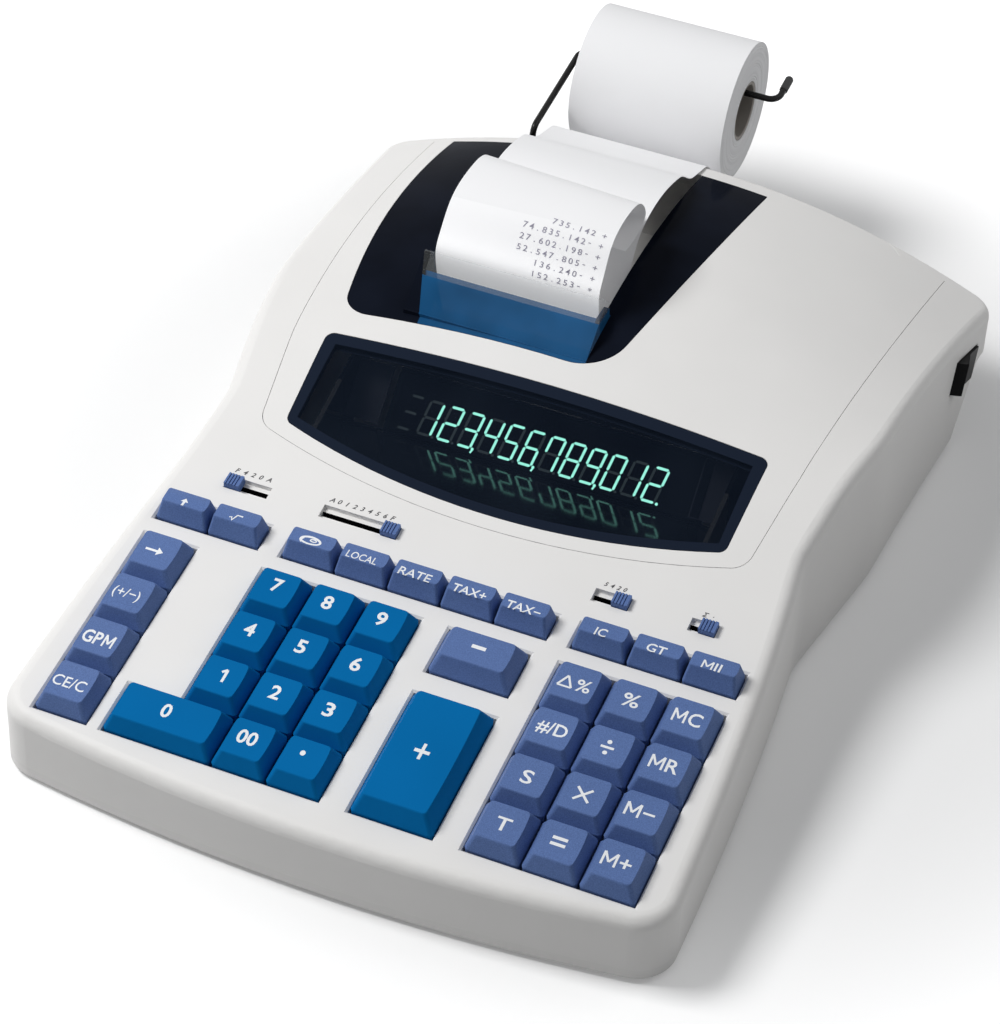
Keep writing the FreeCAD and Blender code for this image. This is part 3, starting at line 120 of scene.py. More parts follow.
def place_parts(tree):
    """The x, y and z of a point in the object's own space."""
    place = tree.nodes.new("ShaderNodeTexCoord")
    parts = tree.nodes.new("ShaderNodeSeparateXYZ")
    join(tree, place.outputs["Object"], parts.inputs[0])
    return parts.outputs


def seen_rays(tree):
    """1 for camera, glossy and transmission rays, which all see the same white background."""
    ray = tree.nodes.new("ShaderNodeLightPath")
    shown = ray.outputs["Is Camera Ray"]
    for kind in ("Is Glossy Ray", "Is Transmission Ray"):
        shown = calculate(tree, "MAXIMUM", shown, ray.outputs[kind])
    return shown


world = bpy.data.worlds.new("studio")
bpy.context.scene.world = world
world.use_nodes = True
sky = world.node_tree
ambient = sky.nodes["Background"]
ambient.inputs["Color"].default_value = (0.95, 0.97, 1.0, 1)
ambient.inputs["Strength"].default_value = 0.18
seen = sky.nodes.new("ShaderNodeBackground")
seen.inputs["Color"].default_value = (1, 1, 1, 1)
chosen = sky.nodes.new("ShaderNodeMixShader")
join(sky, seen_rays(sky), chosen.inputs[0])
join(sky, ambient.outputs[0], chosen.inputs[1])
join(sky, seen.outputs[0], chosen.inputs[2])
join(sky, chosen.outputs[0], sky.nodes["World Output"].inputs[0])


# Materials
def new_look(name, colour, roughness, **settings):
    """A material with one Principled shader; the settings are the shader's own sockets."""
    look = bpy.data.materials.new(name)
    look.use_nodes = True
    shader = look.node_tree.nodes["Principled BSDF"]
    shader.inputs["Base Color"].default_value = (*colour, 1)
    shader.inputs["Roughness"].default_value = roughness
    for socket, value in settings.items():
        shader.inputs[socket.replace("_", " ")].default_value = value
    return look


def noise(tree, size, detail=2.0):
    """Noise in the object's own space, with features of the given size."""
    place = tree.nodes.new("ShaderNodeTexCoord")
    made = tree.nodes.new("ShaderNodeTexNoise")
    made.inputs["Scale"].default_value = 1 / size
    made.inputs["Detail"].default_value = detail
    join(tree, place.outputs["Object"], made.inputs["Vector"])
    return made.outputs["Fac"]


def spread(tree, value, low, high):
    """Maps the middle of a noise to the range from low to high."""
    return remap(tree, value, low, high, 0.3, 0.7)


def blend_colour(tree, share, first, second):
    """Mixes two colours, or a colour with what another node gives, by a share."""
    made = tree.nodes.new("ShaderNodeMix")
    made.data_type = "RGBA"
    join(tree, share, made.inputs["Factor"])
    for socket, colour in ((made.inputs[6], first), (made.inputs[7], second)):
        if isinstance(colour, tuple):
            socket.default_value = (*colour, 1)
        else:
            join(tree, colour, socket)
    return made.outputs[2]


def relief(look, height, depth):
    """Adds relief from a value that runs from 0 to 1."""
    tree = look.node_tree
    made = tree.nodes.new("ShaderNodeBump")
    made.inputs["Distance"].default_value = depth
    join(tree, height, made.inputs["Height"])
    join(tree, made.outputs["Normal"], tree.nodes["Principled BSDF"].inputs["Normal"])


def scaled(colour, factor):
    """A colour made lighter or darker."""
    return tuple(channel * factor for channel in colour)


SPECKLE_LIGHT = 2.2
GLOSS_RANGE = 0.04


def plastic(name, colour, roughness, grain=0.0004, depth=0.00002, shade=0.05, speckle=0.0, **settings):
    """Moulded plastic: fine grain in relief, faint clouds in its colour and gloss."""
    look = new_look(name, colour, roughness, **settings)
    tree = look.node_tree
    shader = tree.nodes["Principled BSDF"]
    cloud = noise(tree, 0.035)
    fine = noise(tree, grain, 3.0)
    tone = blend_colour(tree, spread(tree, cloud, 0, 1), scaled(colour, 1 - shade), scaled(colour, 1 + shade))
    if speckle:
        tone = blend_colour(tree, spread(tree, fine, 0, speckle), tone, scaled(colour, SPECKLE_LIGHT))
    join(tree, tone, shader.inputs["Base Color"])
    gloss = spread(tree, cloud, roughness - GLOSS_RANGE, roughness + GLOSS_RANGE)
    join(tree, gloss, shader.inputs["Roughness"])
    relief(look, fine, depth)
    return look


OFF_WHITE = (0.80, 0.79, 0.775)
SLATE = (0.085, 0.14, 0.31)
BLUE = (0.003, 0.14, 0.385)
housing = plastic("housing_white", OFF_WHITE, 0.5, 0.0005, 0.000012, 0.015, Specular_IOR_Level=0.3)
lower_housing = plastic("lower_housing_white", scaled(OFF_WHITE, 0.97), 0.52, 0.0005, 0.000012, 0.015)
slate = plastic("slate_caps", SLATE, 0.48, 0.00035, 0.00002, 0.05, 0.35, Specular_IOR_Level=0.08)
bright = plastic("bright_caps", BLUE, 0.42, 0.00035, 0.00001, 0.04, 0.03, Specular_IOR_Level=0.005)
legend_ink = plastic("legend_ink", (0.82, 0.84, 0.86), 0.55, 0.0003, 0.000003)
dark_ink = plastic("dark_ink", (0.05, 0.05, 0.055), 0.6, 0.0003, 0.000003)
black = plastic("black_plastic", (0.006, 0.006, 0.0065), 0.35, 0.0004, 0.000008, 0.2, Specular_IOR_Level=0.04)
rubber = plastic("rubber", (0.02, 0.02, 0.021), 0.75, 0.0008, 0.00004, 0.2)
steel = plastic("zinc_steel", (0.55, 0.56, 0.58), 0.32, 0.0006, 0.000006, 0.08, Metallic=1.0)
wire_paint = plastic("wire_paint", (0.006, 0.006, 0.006), 0.2, 0.003, 0.00002, 0.2, Specular_IOR_Level=0.15)
blind = plastic("blind_grey", (0.034, 0.038, 0.052), 0.45, 0.0005, 0.00001, 0.1, Specular_IOR_Level=0.1)
slot_black = plastic("slot_black", (0.006, 0.006, 0.007), 0.7, 0.0005, 0.00001, 0.15, Specular_IOR_Level=0.02)
paper = plastic("paper", (0.89, 0.89, 0.90), 0.78, 0.0009, 0.000012, 0.01)
web_paper = plastic("web_paper", (0.89, 0.89, 0.90), 0.78, 0.0009, 0.000012, 0.01)
core_card = plastic("core_card", (0.30, 0.275, 0.25), 0.7, 0.0006, 0.00003, 0.15)
print_ink = plastic("print_ink", (0.30, 0.29, 0.36), 0.8, 0.0004, 0.000002, 0.25)

# Painted light: the curl in front glows a little, an emission that stands in for light falling on and coming
# through the paper, most at its foot
CURL_GLOW = 0.34
CREST_GLOW = 0.02
GLOW_FOOT_Z = 74 * MM
GLOW_CREST_Z = 93 * MM
CURL_REAR_Y = 34 * MM
web_tree = web_paper.node_tree
web_shader = web_tree.nodes["Principled BSDF"]
web_shader.inputs["Emission Color"].default_value = (1, 1, 1, 1)
_, web_y, web_z = place_parts(web_tree)
painted_glow = remap(web_tree, web_z, CURL_GLOW, CREST_GLOW, GLOW_FOOT_Z, GLOW_CREST_Z)
ahead = compare(web_tree, web_y, CURL_REAR_Y, False)
join(web_tree, both(web_tree, painted_glow, ahead), web_shader.inputs["Emission Strength"])

# Lid: opaque blue-black skin, a see-through blue ramp, and a clear tear plate at its top
HOOD_X = -24.7 * MM
HOOD_HALF = 32.35 * MM
HOOD_REAR = 24.5 * MM
PLATE_FOOT = 72.4 * MM
RAMP_SLANT = 0.433
RAMP_LEFT = -23.65 * MM
LID_SKIN = (0.0045, 0.006, 0.011)
RAMP_BLUE = (0.013, 0.088, 0.22)
RAMP_COVER = 0.86
PLATE_CLEAR = (0.70, 0.74, 0.76)
PLATE_SHARE = 0.06


def lid_look():
    """The lid's three finishes on one mesh, told apart by place."""
    look = new_look("lid_smoked", LID_SKIN, 0.09, Specular_IOR_Level=0.008)
    tree = look.node_tree
    shader = tree.nodes["Principled BSDF"]
    x, y, z = place_parts(tree)
    slanted = calculate(tree, "MULTIPLY_ADD", z, RAMP_SLANT, x)
    right_of_left_edge = compare(tree, slanted, RAMP_LEFT)
    left_of_right_edge = compare(tree, x, HOOD_X + HOOD_HALF, False)
    inside = both(tree, right_of_left_edge, left_of_right_edge)
    hood = both(tree, inside, compare(tree, y, HOOD_REAR, False))
    plate = both(tree, hood, compare(tree, z, PLATE_FOOT))
    cloud = spread(tree, noise(tree, 0.02), 0, 1)
    skin = blend_colour(tree, cloud, LID_SKIN, scaled(LID_SKIN, 1.5))
    ramp = blend_colour(tree, cloud, scaled(RAMP_BLUE, 0.8), scaled(RAMP_BLUE, 1.25))
    tone = blend_colour(tree, plate, blend_colour(tree, hood, skin, ramp), PLATE_CLEAR)
    join(tree, tone, shader.inputs["Base Color"])
    cover = remap(tree, hood, 1.0, RAMP_COVER)
    clear = remap(tree, plate, 1.0, PLATE_SHARE)
    join(tree, both(tree, cover, clear), shader.inputs["Alpha"])
    relief(look, noise(tree, 0.012), 0.00003)
    return look


WINDOW_HALF = 72.5 * MM
WINDOW_FRONT = -56.2 * MM
WINDOW_FRONT_BOW = 11.4 / 75.4 ** 2 / MM
WINDOW_REAR = -13.4 * MM
WINDOW_REAR_BOW = -3.4 / 76.8 ** 2 / MM
PANE_DARK = (0.008, 0.013, 0.024)
PANE_LIGHT = (0.013, 0.020, 0.034)
PANE_COVER = 0.36
RIM_NAVY = (0.013, 0.019, 0.034)


def window_look():
    """Smoked pane with an opaque printed rim that hides its seat."""
    look = new_look("window_smoked", PANE_DARK, 0.05, Specular_IOR_Level=0.0)
    tree = look.node_tree
    shader = tree.nodes["Principled BSDF"]
    x, y, _ = place_parts(tree)
    square = both(tree, x, x)
    rim = compare(tree, square, WINDOW_HALF ** 2)
    for edge, bow, above in ((WINDOW_FRONT, WINDOW_FRONT_BOW, False), (WINDOW_REAR, WINDOW_REAR_BOW, True)):
        bent = calculate(tree, "MULTIPLY_ADD", square, -bow, y)
        rim = calculate(tree, "MAXIMUM", rim, compare(tree, bent, edge, above))
    pane = blend_colour(tree, spread(tree, noise(tree, 0.03), 0, 1), PANE_DARK, PANE_LIGHT)
    join(tree, blend_colour(tree, rim, pane, RIM_NAVY), shader.inputs["Base Color"])
    join(tree, remap(tree, rim, PANE_COVER, 1.0), shader.inputs["Alpha"])
    relief(look, noise(tree, 0.02), 0.00002)
    return look


TUBE_FOOT = -24.0 * MM


def tube_look():
    """Dull dark tube, and in front of its foot a polished tray that mirrors the digits."""
    look = plastic("tube_black", (0.004, 0.005, 0.007), 0.5, 0.002, 0.000002, 0.2)
    tree = look.node_tree
    _, y, _ = place_parts(tree)
    in_tray = compare(tree, y, TUBE_FOOT, False)
    for socket, dull, polished in (("Specular IOR Level", 0.01, 0.6), ("Roughness", 0.5, 0.09)):
        join(tree, remap(tree, in_tray, dull, polished), tree.nodes["Principled BSDF"].inputs[socket])
    return look


def glow_look(name, colour, strength):
    """A surface that gives light, a little unevenly."""
    look = new_look(name, scaled(colour, 0.25), 0.5, Emission_Strength=strength)
    tree = look.node_tree
    shader = tree.nodes["Principled BSDF"]
    tone = blend_colour(tree, spread(tree, noise(tree, 0.0012), 0, 1), scaled(colour, 0.85), colour)
    join(tree, tone, shader.inputs["Emission Color"])
    return look


BOARD_GREEN = (0.02, 0.12, 0.05)
BOARD_LIGHT = (0.03, 0.15, 0.06)
TRACK_GREEN = (0.10, 0.26, 0.12)
IRON = (0.10, 0.095, 0.09)
TRANSFORMER_FROM = 38 * MM


def board_look():
    """Green board with paler tracks; the transformer at its rear right is dark."""
    look = new_look("board_green", BOARD_GREEN, 0.4)
    tree = look.node_tree
    place = tree.nodes.new("ShaderNodeTexCoord")
    tracks = tree.nodes.new("ShaderNodeTexBrick")
    tracks.inputs["Scale"].default_value = 90
    tracks.inputs["Color1"].default_value = (*BOARD_GREEN, 1)
    tracks.inputs["Color2"].default_value = (*BOARD_LIGHT, 1)
    tracks.inputs["Mortar"].default_value = (*TRACK_GREEN, 1)
    tracks.inputs["Mortar Size"].default_value = 0.02
    join(tree, place.outputs["Object"], tracks.inputs["Vector"])
    x, y, _ = place_parts(tree)
    core = both(tree, compare(tree, y, TRANSFORMER_FROM), compare(tree, x, TRANSFORMER_FROM))
    tone = blend_colour(tree, core, tracks.outputs["Color"], IRON)
    join(tree, tone, tree.nodes["Principled BSDF"].inputs["Base Color"])
    relief(look, tracks.outputs["Fac"], 0.00003)
    return look


lid = lid_look()
window = window_look()
board = board_look()
tube = tube_look()
lit = glow_look("digits_lit", (0.34, 0.95, 0.78), 2.4)
# The unlit segments have a faint painted glow, which stands in for light falling on them
unlit = glow_look("digits_unlit", (0.06, 0.10, 0.11), 0.3)

# Floor: near the object it shows the shadow, and further off it fades to the white background
LIFT_START = 0.15
LIFT_END = 0.40
LIFT_NEAR = 0.09
LIFT_FAR = 0.9
floor_look = new_look("floor_white", (0.86, 0.86, 0.86), 0.9, Specular_IOR_Level=0.0)
floor_tree = floor_look.node_tree
floor_shader = floor_tree.nodes["Principled BSDF"]
floor_shader.inputs["Emission Color"].default_value = (1, 1, 1, 1)
floor_place = floor_tree.nodes.new("ShaderNodeTexCoord")
away = floor_tree.nodes.new("ShaderNodeVectorMath")
away.operation = "LENGTH"
join(floor_tree, floor_place.outputs["Object"], away.inputs[0])
floor_lift = remap(floor_tree, away.outputs["Value"], LIFT_NEAR, LIFT_FAR, LIFT_START, LIFT_END, True)
floor_seen = seen_rays(floor_tree)
join(floor_tree, both(floor_tree, floor_lift, floor_seen), floor_shader.inputs["Emission Strength"])
floor_tone = blend_colour(floor_tree, noise(floor_tree, 0.5), (0.85, 0.85, 0.85), (0.87, 0.87, 0.87))
floor_colour = blend_colour(floor_tree, floor_seen, (0.66, 0.66, 0.66), floor_tone)
join(floor_tree, floor_colour, floor_shader.inputs["Base Color"])


# Making pieces
def piece(name, points, faces, look, body, slot=None, smooth=False):
    """A mesh piece from its points and faces, riding a body."""
    mesh = bpy.data.meshes.new(name)
    mesh.from_pydata([tuple(point) for point in points], [], faces)
    mesh.materials.append(look)
    mesh.validate()
    if smooth:
        mesh.shade_smooth()
        mesh.set_sharp_from_angle(angle=math.radians(40))
    thing = bpy.data.objects.new(name, mesh)
    bpy.context.scene.collection.objects.link(thing)
    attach(thing, body)
    return thing


def merged(shapes):
    """Joins shapes, each its points and faces, into one."""
    points = []
    faces = []
    for own_points, own_faces in shapes:
        start = len(points)
        points += own_points
        faces += [[index + start for index in face] for face in own_faces]
    return points, faces


INK = 0.04 * MM


def slab(outline, low, high):
    """A flat prism over an outline that turns left."""
    count = len(outline)
    points = [Vector((x, y, low)) for x, y in outline] + [Vector((x, y, high)) for x, y in outline]
    faces = [list(range(count))[::-1], list(range(count, 2 * count))]
    for index in range(count):
        after = (index + 1) % count
        faces.append([index, after, count + after, count + index])
    return points, faces


def stroke(line, width, low, high, closed=False):
    """A ribbon of even width along a line of points."""
    line = [Vector(point) for point in line]
    count = len(line)
    shapes = []
    sides = []
    for index, point in enumerate(line):
        before = line[index - 1] if index or closed else point
        after = line[(index + 1) % count] if index < count - 1 or closed else point
        along = (after - before).normalized()
        across = Vector((-along.y, along.x)) * width / 2
        sides.append((point - across, point + across))
    pairs = list(zip(sides, sides[1:])) + ([(sides[-1], sides[0])] if closed else [])
    for (right, left), (next_right, next_left) in pairs:
        shapes.append(slab([right, next_right, next_left, left], low, high))
    return merged(shapes)


CAPITAL_SHARE = 0.69
LETTER_GAP = 0.16


def lettering(text, height, weight=0.0, slant=0.0, thick=0.00004):
    """Solid lettering centred on the origin; the height is that of a capital letter."""
    curve = bpy.data.curves.new("lettering", "FONT")
    curve.body = text
    curve.size = height / CAPITAL_SHARE
    curve.offset = weight * height
    curve.shear = slant
    curve.extrude = thick
    curve.resolution_u = 3
    thing = bpy.data.objects.new("lettering", curve)
    bpy.context.scene.collection.objects.link(thing)
    bpy.context.view_layer.update()
    mesh = bpy.data.meshes.new_from_object(thing.evaluated_get(bpy.context.evaluated_depsgraph_get()))
    points = [vertex.co.copy() for vertex in mesh.vertices]
    faces = [list(polygon.vertices) for polygon in mesh.polygons]
    bpy.data.objects.remove(thing)
    bpy.data.curves.remove(curve)
    bpy.data.meshes.remove(mesh)
    centre = Vector(((min(p.x for p in points) + max(p.x for p in points)) / 2,
                     (min(p.y for p in points) + max(p.y for p in points)) / 2, 0))
    return [point - centre for point in points], faces


# Letters drawn with strokes, as lines within a height of 1
DRAWN = {
    "M": [(-0.40, -0.5), (-0.40, 0.5), (0.0, -0.22), (0.40, 0.5), (0.40, -0.5)],
    "Δ": [(-0.46, -0.44), (0.46, -0.44), (0.0, 0.5), (-0.46, -0.44)],
    "1": [(-0.24, 0.24), (0.06, 0.5), (0.06, -0.5)],
}


def drawn(letter, height, weight):
    """One letter made of strokes."""
    line = [Vector(point) * height for point in DRAWN[letter]]
    width = (0.11 + 2 * weight) * height
    return merged([stroke([start, end], width, -INK, INK) for start, end in zip(line, line[1:])])


def worded(text, height, width, weight):
    """Centred lettering of a given height and width."""
    runs = [""]
    for letter in text:
        if letter in DRAWN or runs[-1] in DRAWN:
            runs.append("")
        runs[-1] += letter
    shapes = []
    left = 0.0
    for run in filter(None, runs):
        points, faces = drawn(run, height, weight) if run in DRAWN else lettering(run, height, weight)
        start = min(point.x for point in points)
        reach = max(point.x for point in points) - start
        shapes.append(([point + Vector((left - start, 0, 0)) for point in points], faces))
        left += reach + LETTER_GAP * height
    points, faces = merged(shapes)
    reach = left - LETTER_GAP * height
    return [Vector(((point.x / reach - 0.5) * width, point.y, point.z)) for point in points], faces


# CAD nodes that stay, with their finish
BRIGHT_KEYS = ["key_%d" % figure for figure in range(10)] + ["key_00", "key_point", "key_plus"]
NODE_LOOKS = {
    "top_housing": housing, "bottom_housing": lower_housing, "centre_panel": housing,
    "display_window": window, "printer_lid": lid, "circuit_board": board, "roll_wire": wire_paint,
    "printer_frame": steel, "platen_roller": rubber, "ink_roller": rubber, "power_rocker": black,
    "rubber_feet": rubber, "case_screws": steel, "display_tube": tube,
}
for name, thing in nodes.items():
    look = NODE_LOOKS.get(name)
    if look is None and (name.startswith("key_") or name.startswith("slide_")):
        look = bright if name in BRIGHT_KEYS else slate
    if look is None:
        look = paper
    thing.data.materials.clear()
    thing.data.materials.append(look)


# Legends on the key tops
def deck_box(name):
    """Corners of a node in the deck's frame."""
    spots = np.array([TO_DECK @ vertex.co for vertex in nodes[name].data.vertices])
    return spots.min(0), spots.max(0)


DISH_DEPTH = 0.45 * MM
SLOPES = {"standard": (2.35 * MM, 2.35 * MM), "large": (2.9 * MM, 2.9 * MM), "small": (1.3 * MM, 2.6 * MM)}


def key_top(name, kind):
    """Middle of a key in the deck's frame, and the height of its hollow top at y from there."""
    low, high = deck_box(name)
    rear_slope, front_slope = SLOPES[kind]
    reach = high[1] - low[1] - rear_slope - front_slope
    radius = ((reach / 2) ** 2 + DISH_DEPTH ** 2) / (2 * DISH_DEPTH)
    middle = (front_slope - rear_slope) / 2
    centre = Vector(((low[0] + high[0]) / 2, (low[1] + high[1]) / 2, 0))

    def surface(y):
        """Height of the hollow top, a cylinder across the key."""
        return high[2] - DISH_DEPTH + radius - math.sqrt(max(radius ** 2 - (y - middle) ** 2, 0))

    return centre, surface


def add_legend(name, kind, shape, shift):
    """Lays a flat shape on a key's hollow top."""
    centre, surface = key_top(name, kind)
    points, faces = shape
    laid = []
    for point in points:
        y = point.y + shift[1] * MM
        spot = centre + Vector((point.x + shift[0] * MM, y, surface(y) + point.z + 0.03 * MM))
        laid.append(DECK @ spot)
    slot = "bright_keys" if name in BRIGHT_KEYS else "slate_keys"
    piece("legend_" + name[4:], laid, faces, legend_ink, name, slot)


# Key kind, text, height and width in mm, weight of the strokes, and the shift from the key's middle
BOLD = 0.034
SEMI = 0.018
LEGENDS = {
    # figures and totals
    "key_0": ("standard", "0", 4.8, 3.2, BOLD, (-0.5, 0.8)),
    "key_00": ("standard", "00", 4.8, 6.4, BOLD, (-0.6, 0.7)),
    "key_1": ("standard", "1", 4.8, 2.2, BOLD, (0.2, 0.5)),
    "key_2": ("standard", "2", 4.9, 3.3, BOLD, (-0.2, 0.6)),
    "key_3": ("standard", "3", 4.9, 3.3, BOLD, (-0.5, 0.6)),
    "key_4": ("standard", "4", 4.8, 3.5, BOLD, (0.0, 1.1)),
    "key_5": ("standard", "5", 4.9, 3.3, BOLD, (-0.6, 0.8)),
    "key_6": ("standard", "6", 4.9, 3.4, BOLD, (-0.3, 0.8)),
    "key_7": ("standard", "7", 4.8, 3.4, BOLD, (0.1, 1.3)),
    "key_8": ("standard", "8", 4.9, 3.4, BOLD, (-0.5, 0.9)),
    "key_9": ("standard", "9", 4.9, 3.5, BOLD, (-0.5, 1.1)),
    "key_point": ("standard", ".", 8.0, 1.7, BOLD, (-0.9, 1.7)),
    "key_plus": ("large", "+", 8.6, 4.9, 0.012, (-0.1, 0.1)),
    "key_minus": ("large", "−", 9.6, 4.6, 0.010, (-0.1, 0.9)),
    # left column
    "key_clear_entry": ("standard", "CE/C", 4.0, 10.8, 0.008, (-0.5, -0.6)),
    "key_margin": ("standard", "GPM", 4.7, 10.4, 0.030, (-0.3, -0.7)),
    "key_sign": ("standard", "(+/−)", 3.6, 9.0, 0.008, (-0.6, -0.5)),
    # function block
    "key_total": ("standard", "T", 4.7, 4.6, SEMI, (0.2, 0.0)),
    "key_subtotal": ("standard", "S", 4.8, 3.6, SEMI, (0.1, -0.3)),
    "key_number_date": ("standard", "#/D", 4.5, 9.6, SEMI, (0.1, 0.0)),
    "key_percent_change": ("standard", "Δ%", 4.5, 10.4, SEMI, (-0.2, -0.2)),
    "key_equals": ("standard", "=", 7.0, 4.7, SEMI, (-0.4, 0.3)),
    "key_percent": ("standard", "%", 4.9, 5.3, SEMI, (-0.1, 0.2)),
    "key_memory_plus": ("standard", "M+", 4.8, 9.1, SEMI, (-0.4, 0.1)),
    "key_memory_minus": ("standard", "M−", 4.8, 9.2, SEMI, (-0.6, 0.3)),
    "key_memory_recall": ("standard", "MR", 4.8, 9.1, SEMI, (-0.3, 0.3)),
    "key_memory_clear": ("standard", "MC", 4.8, 9.1, SEMI, (-0.2, 0.3)),
    # small row
    "key_currency": ("small", "LOCAL", 3.0, 10.2, 0.008, (-0.6, -0.5)),
    "key_rate": ("small", "RATE", 3.5, 10.7, 0.010, (-0.5, -0.7)),
    "key_tax_plus": ("small", "TAX+", 3.5, 11.1, SEMI, (-0.2, -0.8)),
    "key_tax_minus": ("small", "TAX−", 3.5, 11.2, SEMI, (-0.2, -0.8)),
    "key_item_count": ("small", "IC", 3.4, 3.7, SEMI, (-0.4, -0.7)),
    "key_grand_total": ("small", "GT", 3.4, 6.2, SEMI, (-0.4, -0.6)),
    "key_memory_two": ("small", "MII", 3.4, 6.1, SEMI, (-0.6, -0.5)),
}
for name, (kind, text, height, width, weight, shift) in LEGENDS.items():
    add_legend(name, kind, worded(text, height * MM, width * MM, weight), shift)


def ellipse(x, y, half_x, half_y, count=28):
    """Points round an ellipse, turning left."""
    turns = [2 * math.pi * step / count for step in range(count)]
    return [(x + half_x * math.cos(turn), y + half_y * math.sin(turn)) for turn in turns]


# Paper feed: a roll seen at an angle, with the paper's end curling round
feed_icon = merged([
    stroke(ellipse(0, 0, 3.3 * MM, 1.5 * MM), 0.75 * MM, -INK, INK, True),
    stroke(ellipse(0.9 * MM, 0.3 * MM, 1.0 * MM, 0.5 * MM, 16), 0.45 * MM, -INK, INK, True),
    stroke([(-2.4 * MM, -1.4 * MM), (-3.2 * MM, -0.5 * MM), (-2.6 * MM, 0.7 * MM)], 0.9 * MM, -INK, INK),
])
add_legend("key_paper_feed", "small", feed_icon, (-0.4, -0.2))


def in_mm(spots):
    """Points in metres from points in mm."""
    return [(x * MM, y * MM) for x, y in spots]


def signs(*lines, width):
    """Strokes of one width along lines in mm."""
    return [stroke(in_mm(line), width * MM, -INK, INK) for line in lines]


times = merged(signs([(-2.4, -2.4), (2.4, 2.4)], [(-2.4, 2.4), (2.4, -2.4)], width=0.8))
dots = [slab(ellipse(0, y * MM, 0.75 * MM, 0.75 * MM, 16), -INK, INK) for y in (-2.1, 2.1)]
divide = merged(signs([(-2.1, 0), (2.1, 0)], width=0.85) + dots)
right_head = slab(in_mm([(1.0, -1.6), (3.0, 0), (1.0, 1.6)]), -INK, INK)
right_arrow = merged(signs([(-3.0, 0), (1.2, 0)], width=0.85) + [right_head])
up_head = slab(in_mm([(-1.3, 0.2), (1.3, 0.2), (0, 1.7)]), -INK, INK)
up_arrow = merged(signs([(0, -1.7), (0, 0.4)], width=0.8) + [up_head])
root = merged(signs([(-2.0, -0.2), (-1.3, 0.2), (-0.7, -1.4), (0.2, 1.4), (2.1, 1.4)], width=0.5))
add_legend("key_times", "standard", times, (-0.3, -0.2))
add_legend("key_divide", "standard", divide, (-0.2, -0.1))
add_legend("key_backspace", "standard", right_arrow, (-0.6, 0.0))
add_legend("key_arrow_up", "small", up_arrow, (-0.3, -0.5))
add_legend("key_root", "small", root, (-0.4, -0.5))


# Marks behind the slide switches
BEND_START = 95.55 * MM
BEND_LENGTH = 32.0 * MM
PANEL_TILT = math.radians(17.8)
BEND_RATE = (math.tan(PANEL_TILT) - math.tan(DECK_TILT)) / (2 * BEND_LENGTH)


def deck_rise(y):
    """How far the top surface stands above the deck's plane where it bends up to the centre panel."""
    past = y * math.cos(DECK_TILT) - BEND_START
    return BEND_RATE * max(past, 0.0) ** 2


def add_marks(name, text, x, y, pitch, height, slant):
    """A row of small printed figures on the deck."""
    shapes = []
    for index, letter in enumerate(text):
        if letter == " ":
            continue
        points, faces = lettering(letter, height * MM, 0.015, slant)
        laid = []
        for point in points:
            along = y * MM + point.y
            lift = deck_rise(along) + point.z + 0.05 * MM
            laid.append(DECK @ Vector(((x + pitch * index) * MM + point.x, along, lift)))
        shapes.append((laid, faces))
    points, faces = merged(shapes)
    piece(name, points, faces, dark_ink, "calculator", "housing_plastic")


add_marks("marks_slide_one", "F420A", -81.6, 109.6, 2.75, 1.7, 0.3)
add_marks("marks_slide_two", "A0123456F", -48.2, 109.4, 2.62, 1.7, 0.3)
add_marks("marks_slide_three", "5420", 45.2, 109.3, 2.1, 1.5, 0.3)
add_marks("marks_slide_four", "Σ·", 78.0, 109.2, 2.6, 1.6, 0.3)

# Painted shade: thin black plates on the walls of the slits in the slide slots, which stand in for the shade
# deep inside them
SLOT_DEPTH = 1.4 * MM
SLIT_DEPTH = 3.9 * MM
SLIT_MIDDLE = 104.3 * MM
SLIT_HALF = 0.95 * MM
SLIT_SHADE_THICK = 0.1 * MM
SLOTS = {"one": (-83.2, 15.0), "two": (-49.8, 26.8), "three": (42.8, 12.2), "four": (74.6, 9.0)}
for name, (left, length) in SLOTS.items():
    start, end = (left + 0.05) * MM, (left + length - 0.05) * MM
    shade_plates = []
    for near in (SLIT_MIDDLE - SLIT_HALF, SLIT_MIDDLE + SLIT_HALF - SLIT_SHADE_THICK):
        outline = [(start, near), (end, near), (end, near + SLIT_SHADE_THICK), (start, near + SLIT_SHADE_THICK)]
        shade_plates.append(slab(outline, -SLIT_DEPTH, -SLOT_DEPTH))
    points, faces = merged(shade_plates)
    points = [DECK @ point for point in points]
    piece("slit_shade_plate_" + name, points, faces, slot_black, "calculator", "black_plastic")

# Display: lit and unlit segments on the tube, and the blinds beside it
TUBE = Matrix.Translation((3.0 * MM, -16.0 * MM, 42.6 * MM)) @ Matrix.Rotation(math.radians(45.0), 4, "X")
DIGIT_HEIGHT = 11.3 * MM
DIGIT_WIDTH = 4.6 * MM
DIGIT_PITCH = 7.15 * MM
DIGIT_SLANT = 0.16
DIGIT_DROP = 2.9 * MM
SEGMENT = 0.85 * MM
FIRST_DIGIT = -43.5 * MM
SEGMENTS = {
    "0": "abcdef", "1": "bc", "2": "abged", "3": "abgcd", "4": "fgbc", "5": "afgcd", "6": "afgedc",
    "7": "fabc", "8": "abcdefg", "9": "abcdfg",
}


def segment_line(letter):
    """Ends of one segment in a digit that stands on the origin."""
    left, right = 0.0, DIGIT_WIDTH
    low, middle, high = 0.0, DIGIT_HEIGHT / 2, DIGIT_HEIGHT
    return {
        "a": ((left, high), (right, high)), "b": ((right, high), (right, middle)),
        "c": ((right, middle), (right, low)), "d": ((left, low), (right, low)),
        "e": ((left, low), (left, middle)), "f": ((left, middle), (left, high)),
        "g": ((left, middle), (right, middle)),
    }[letter]


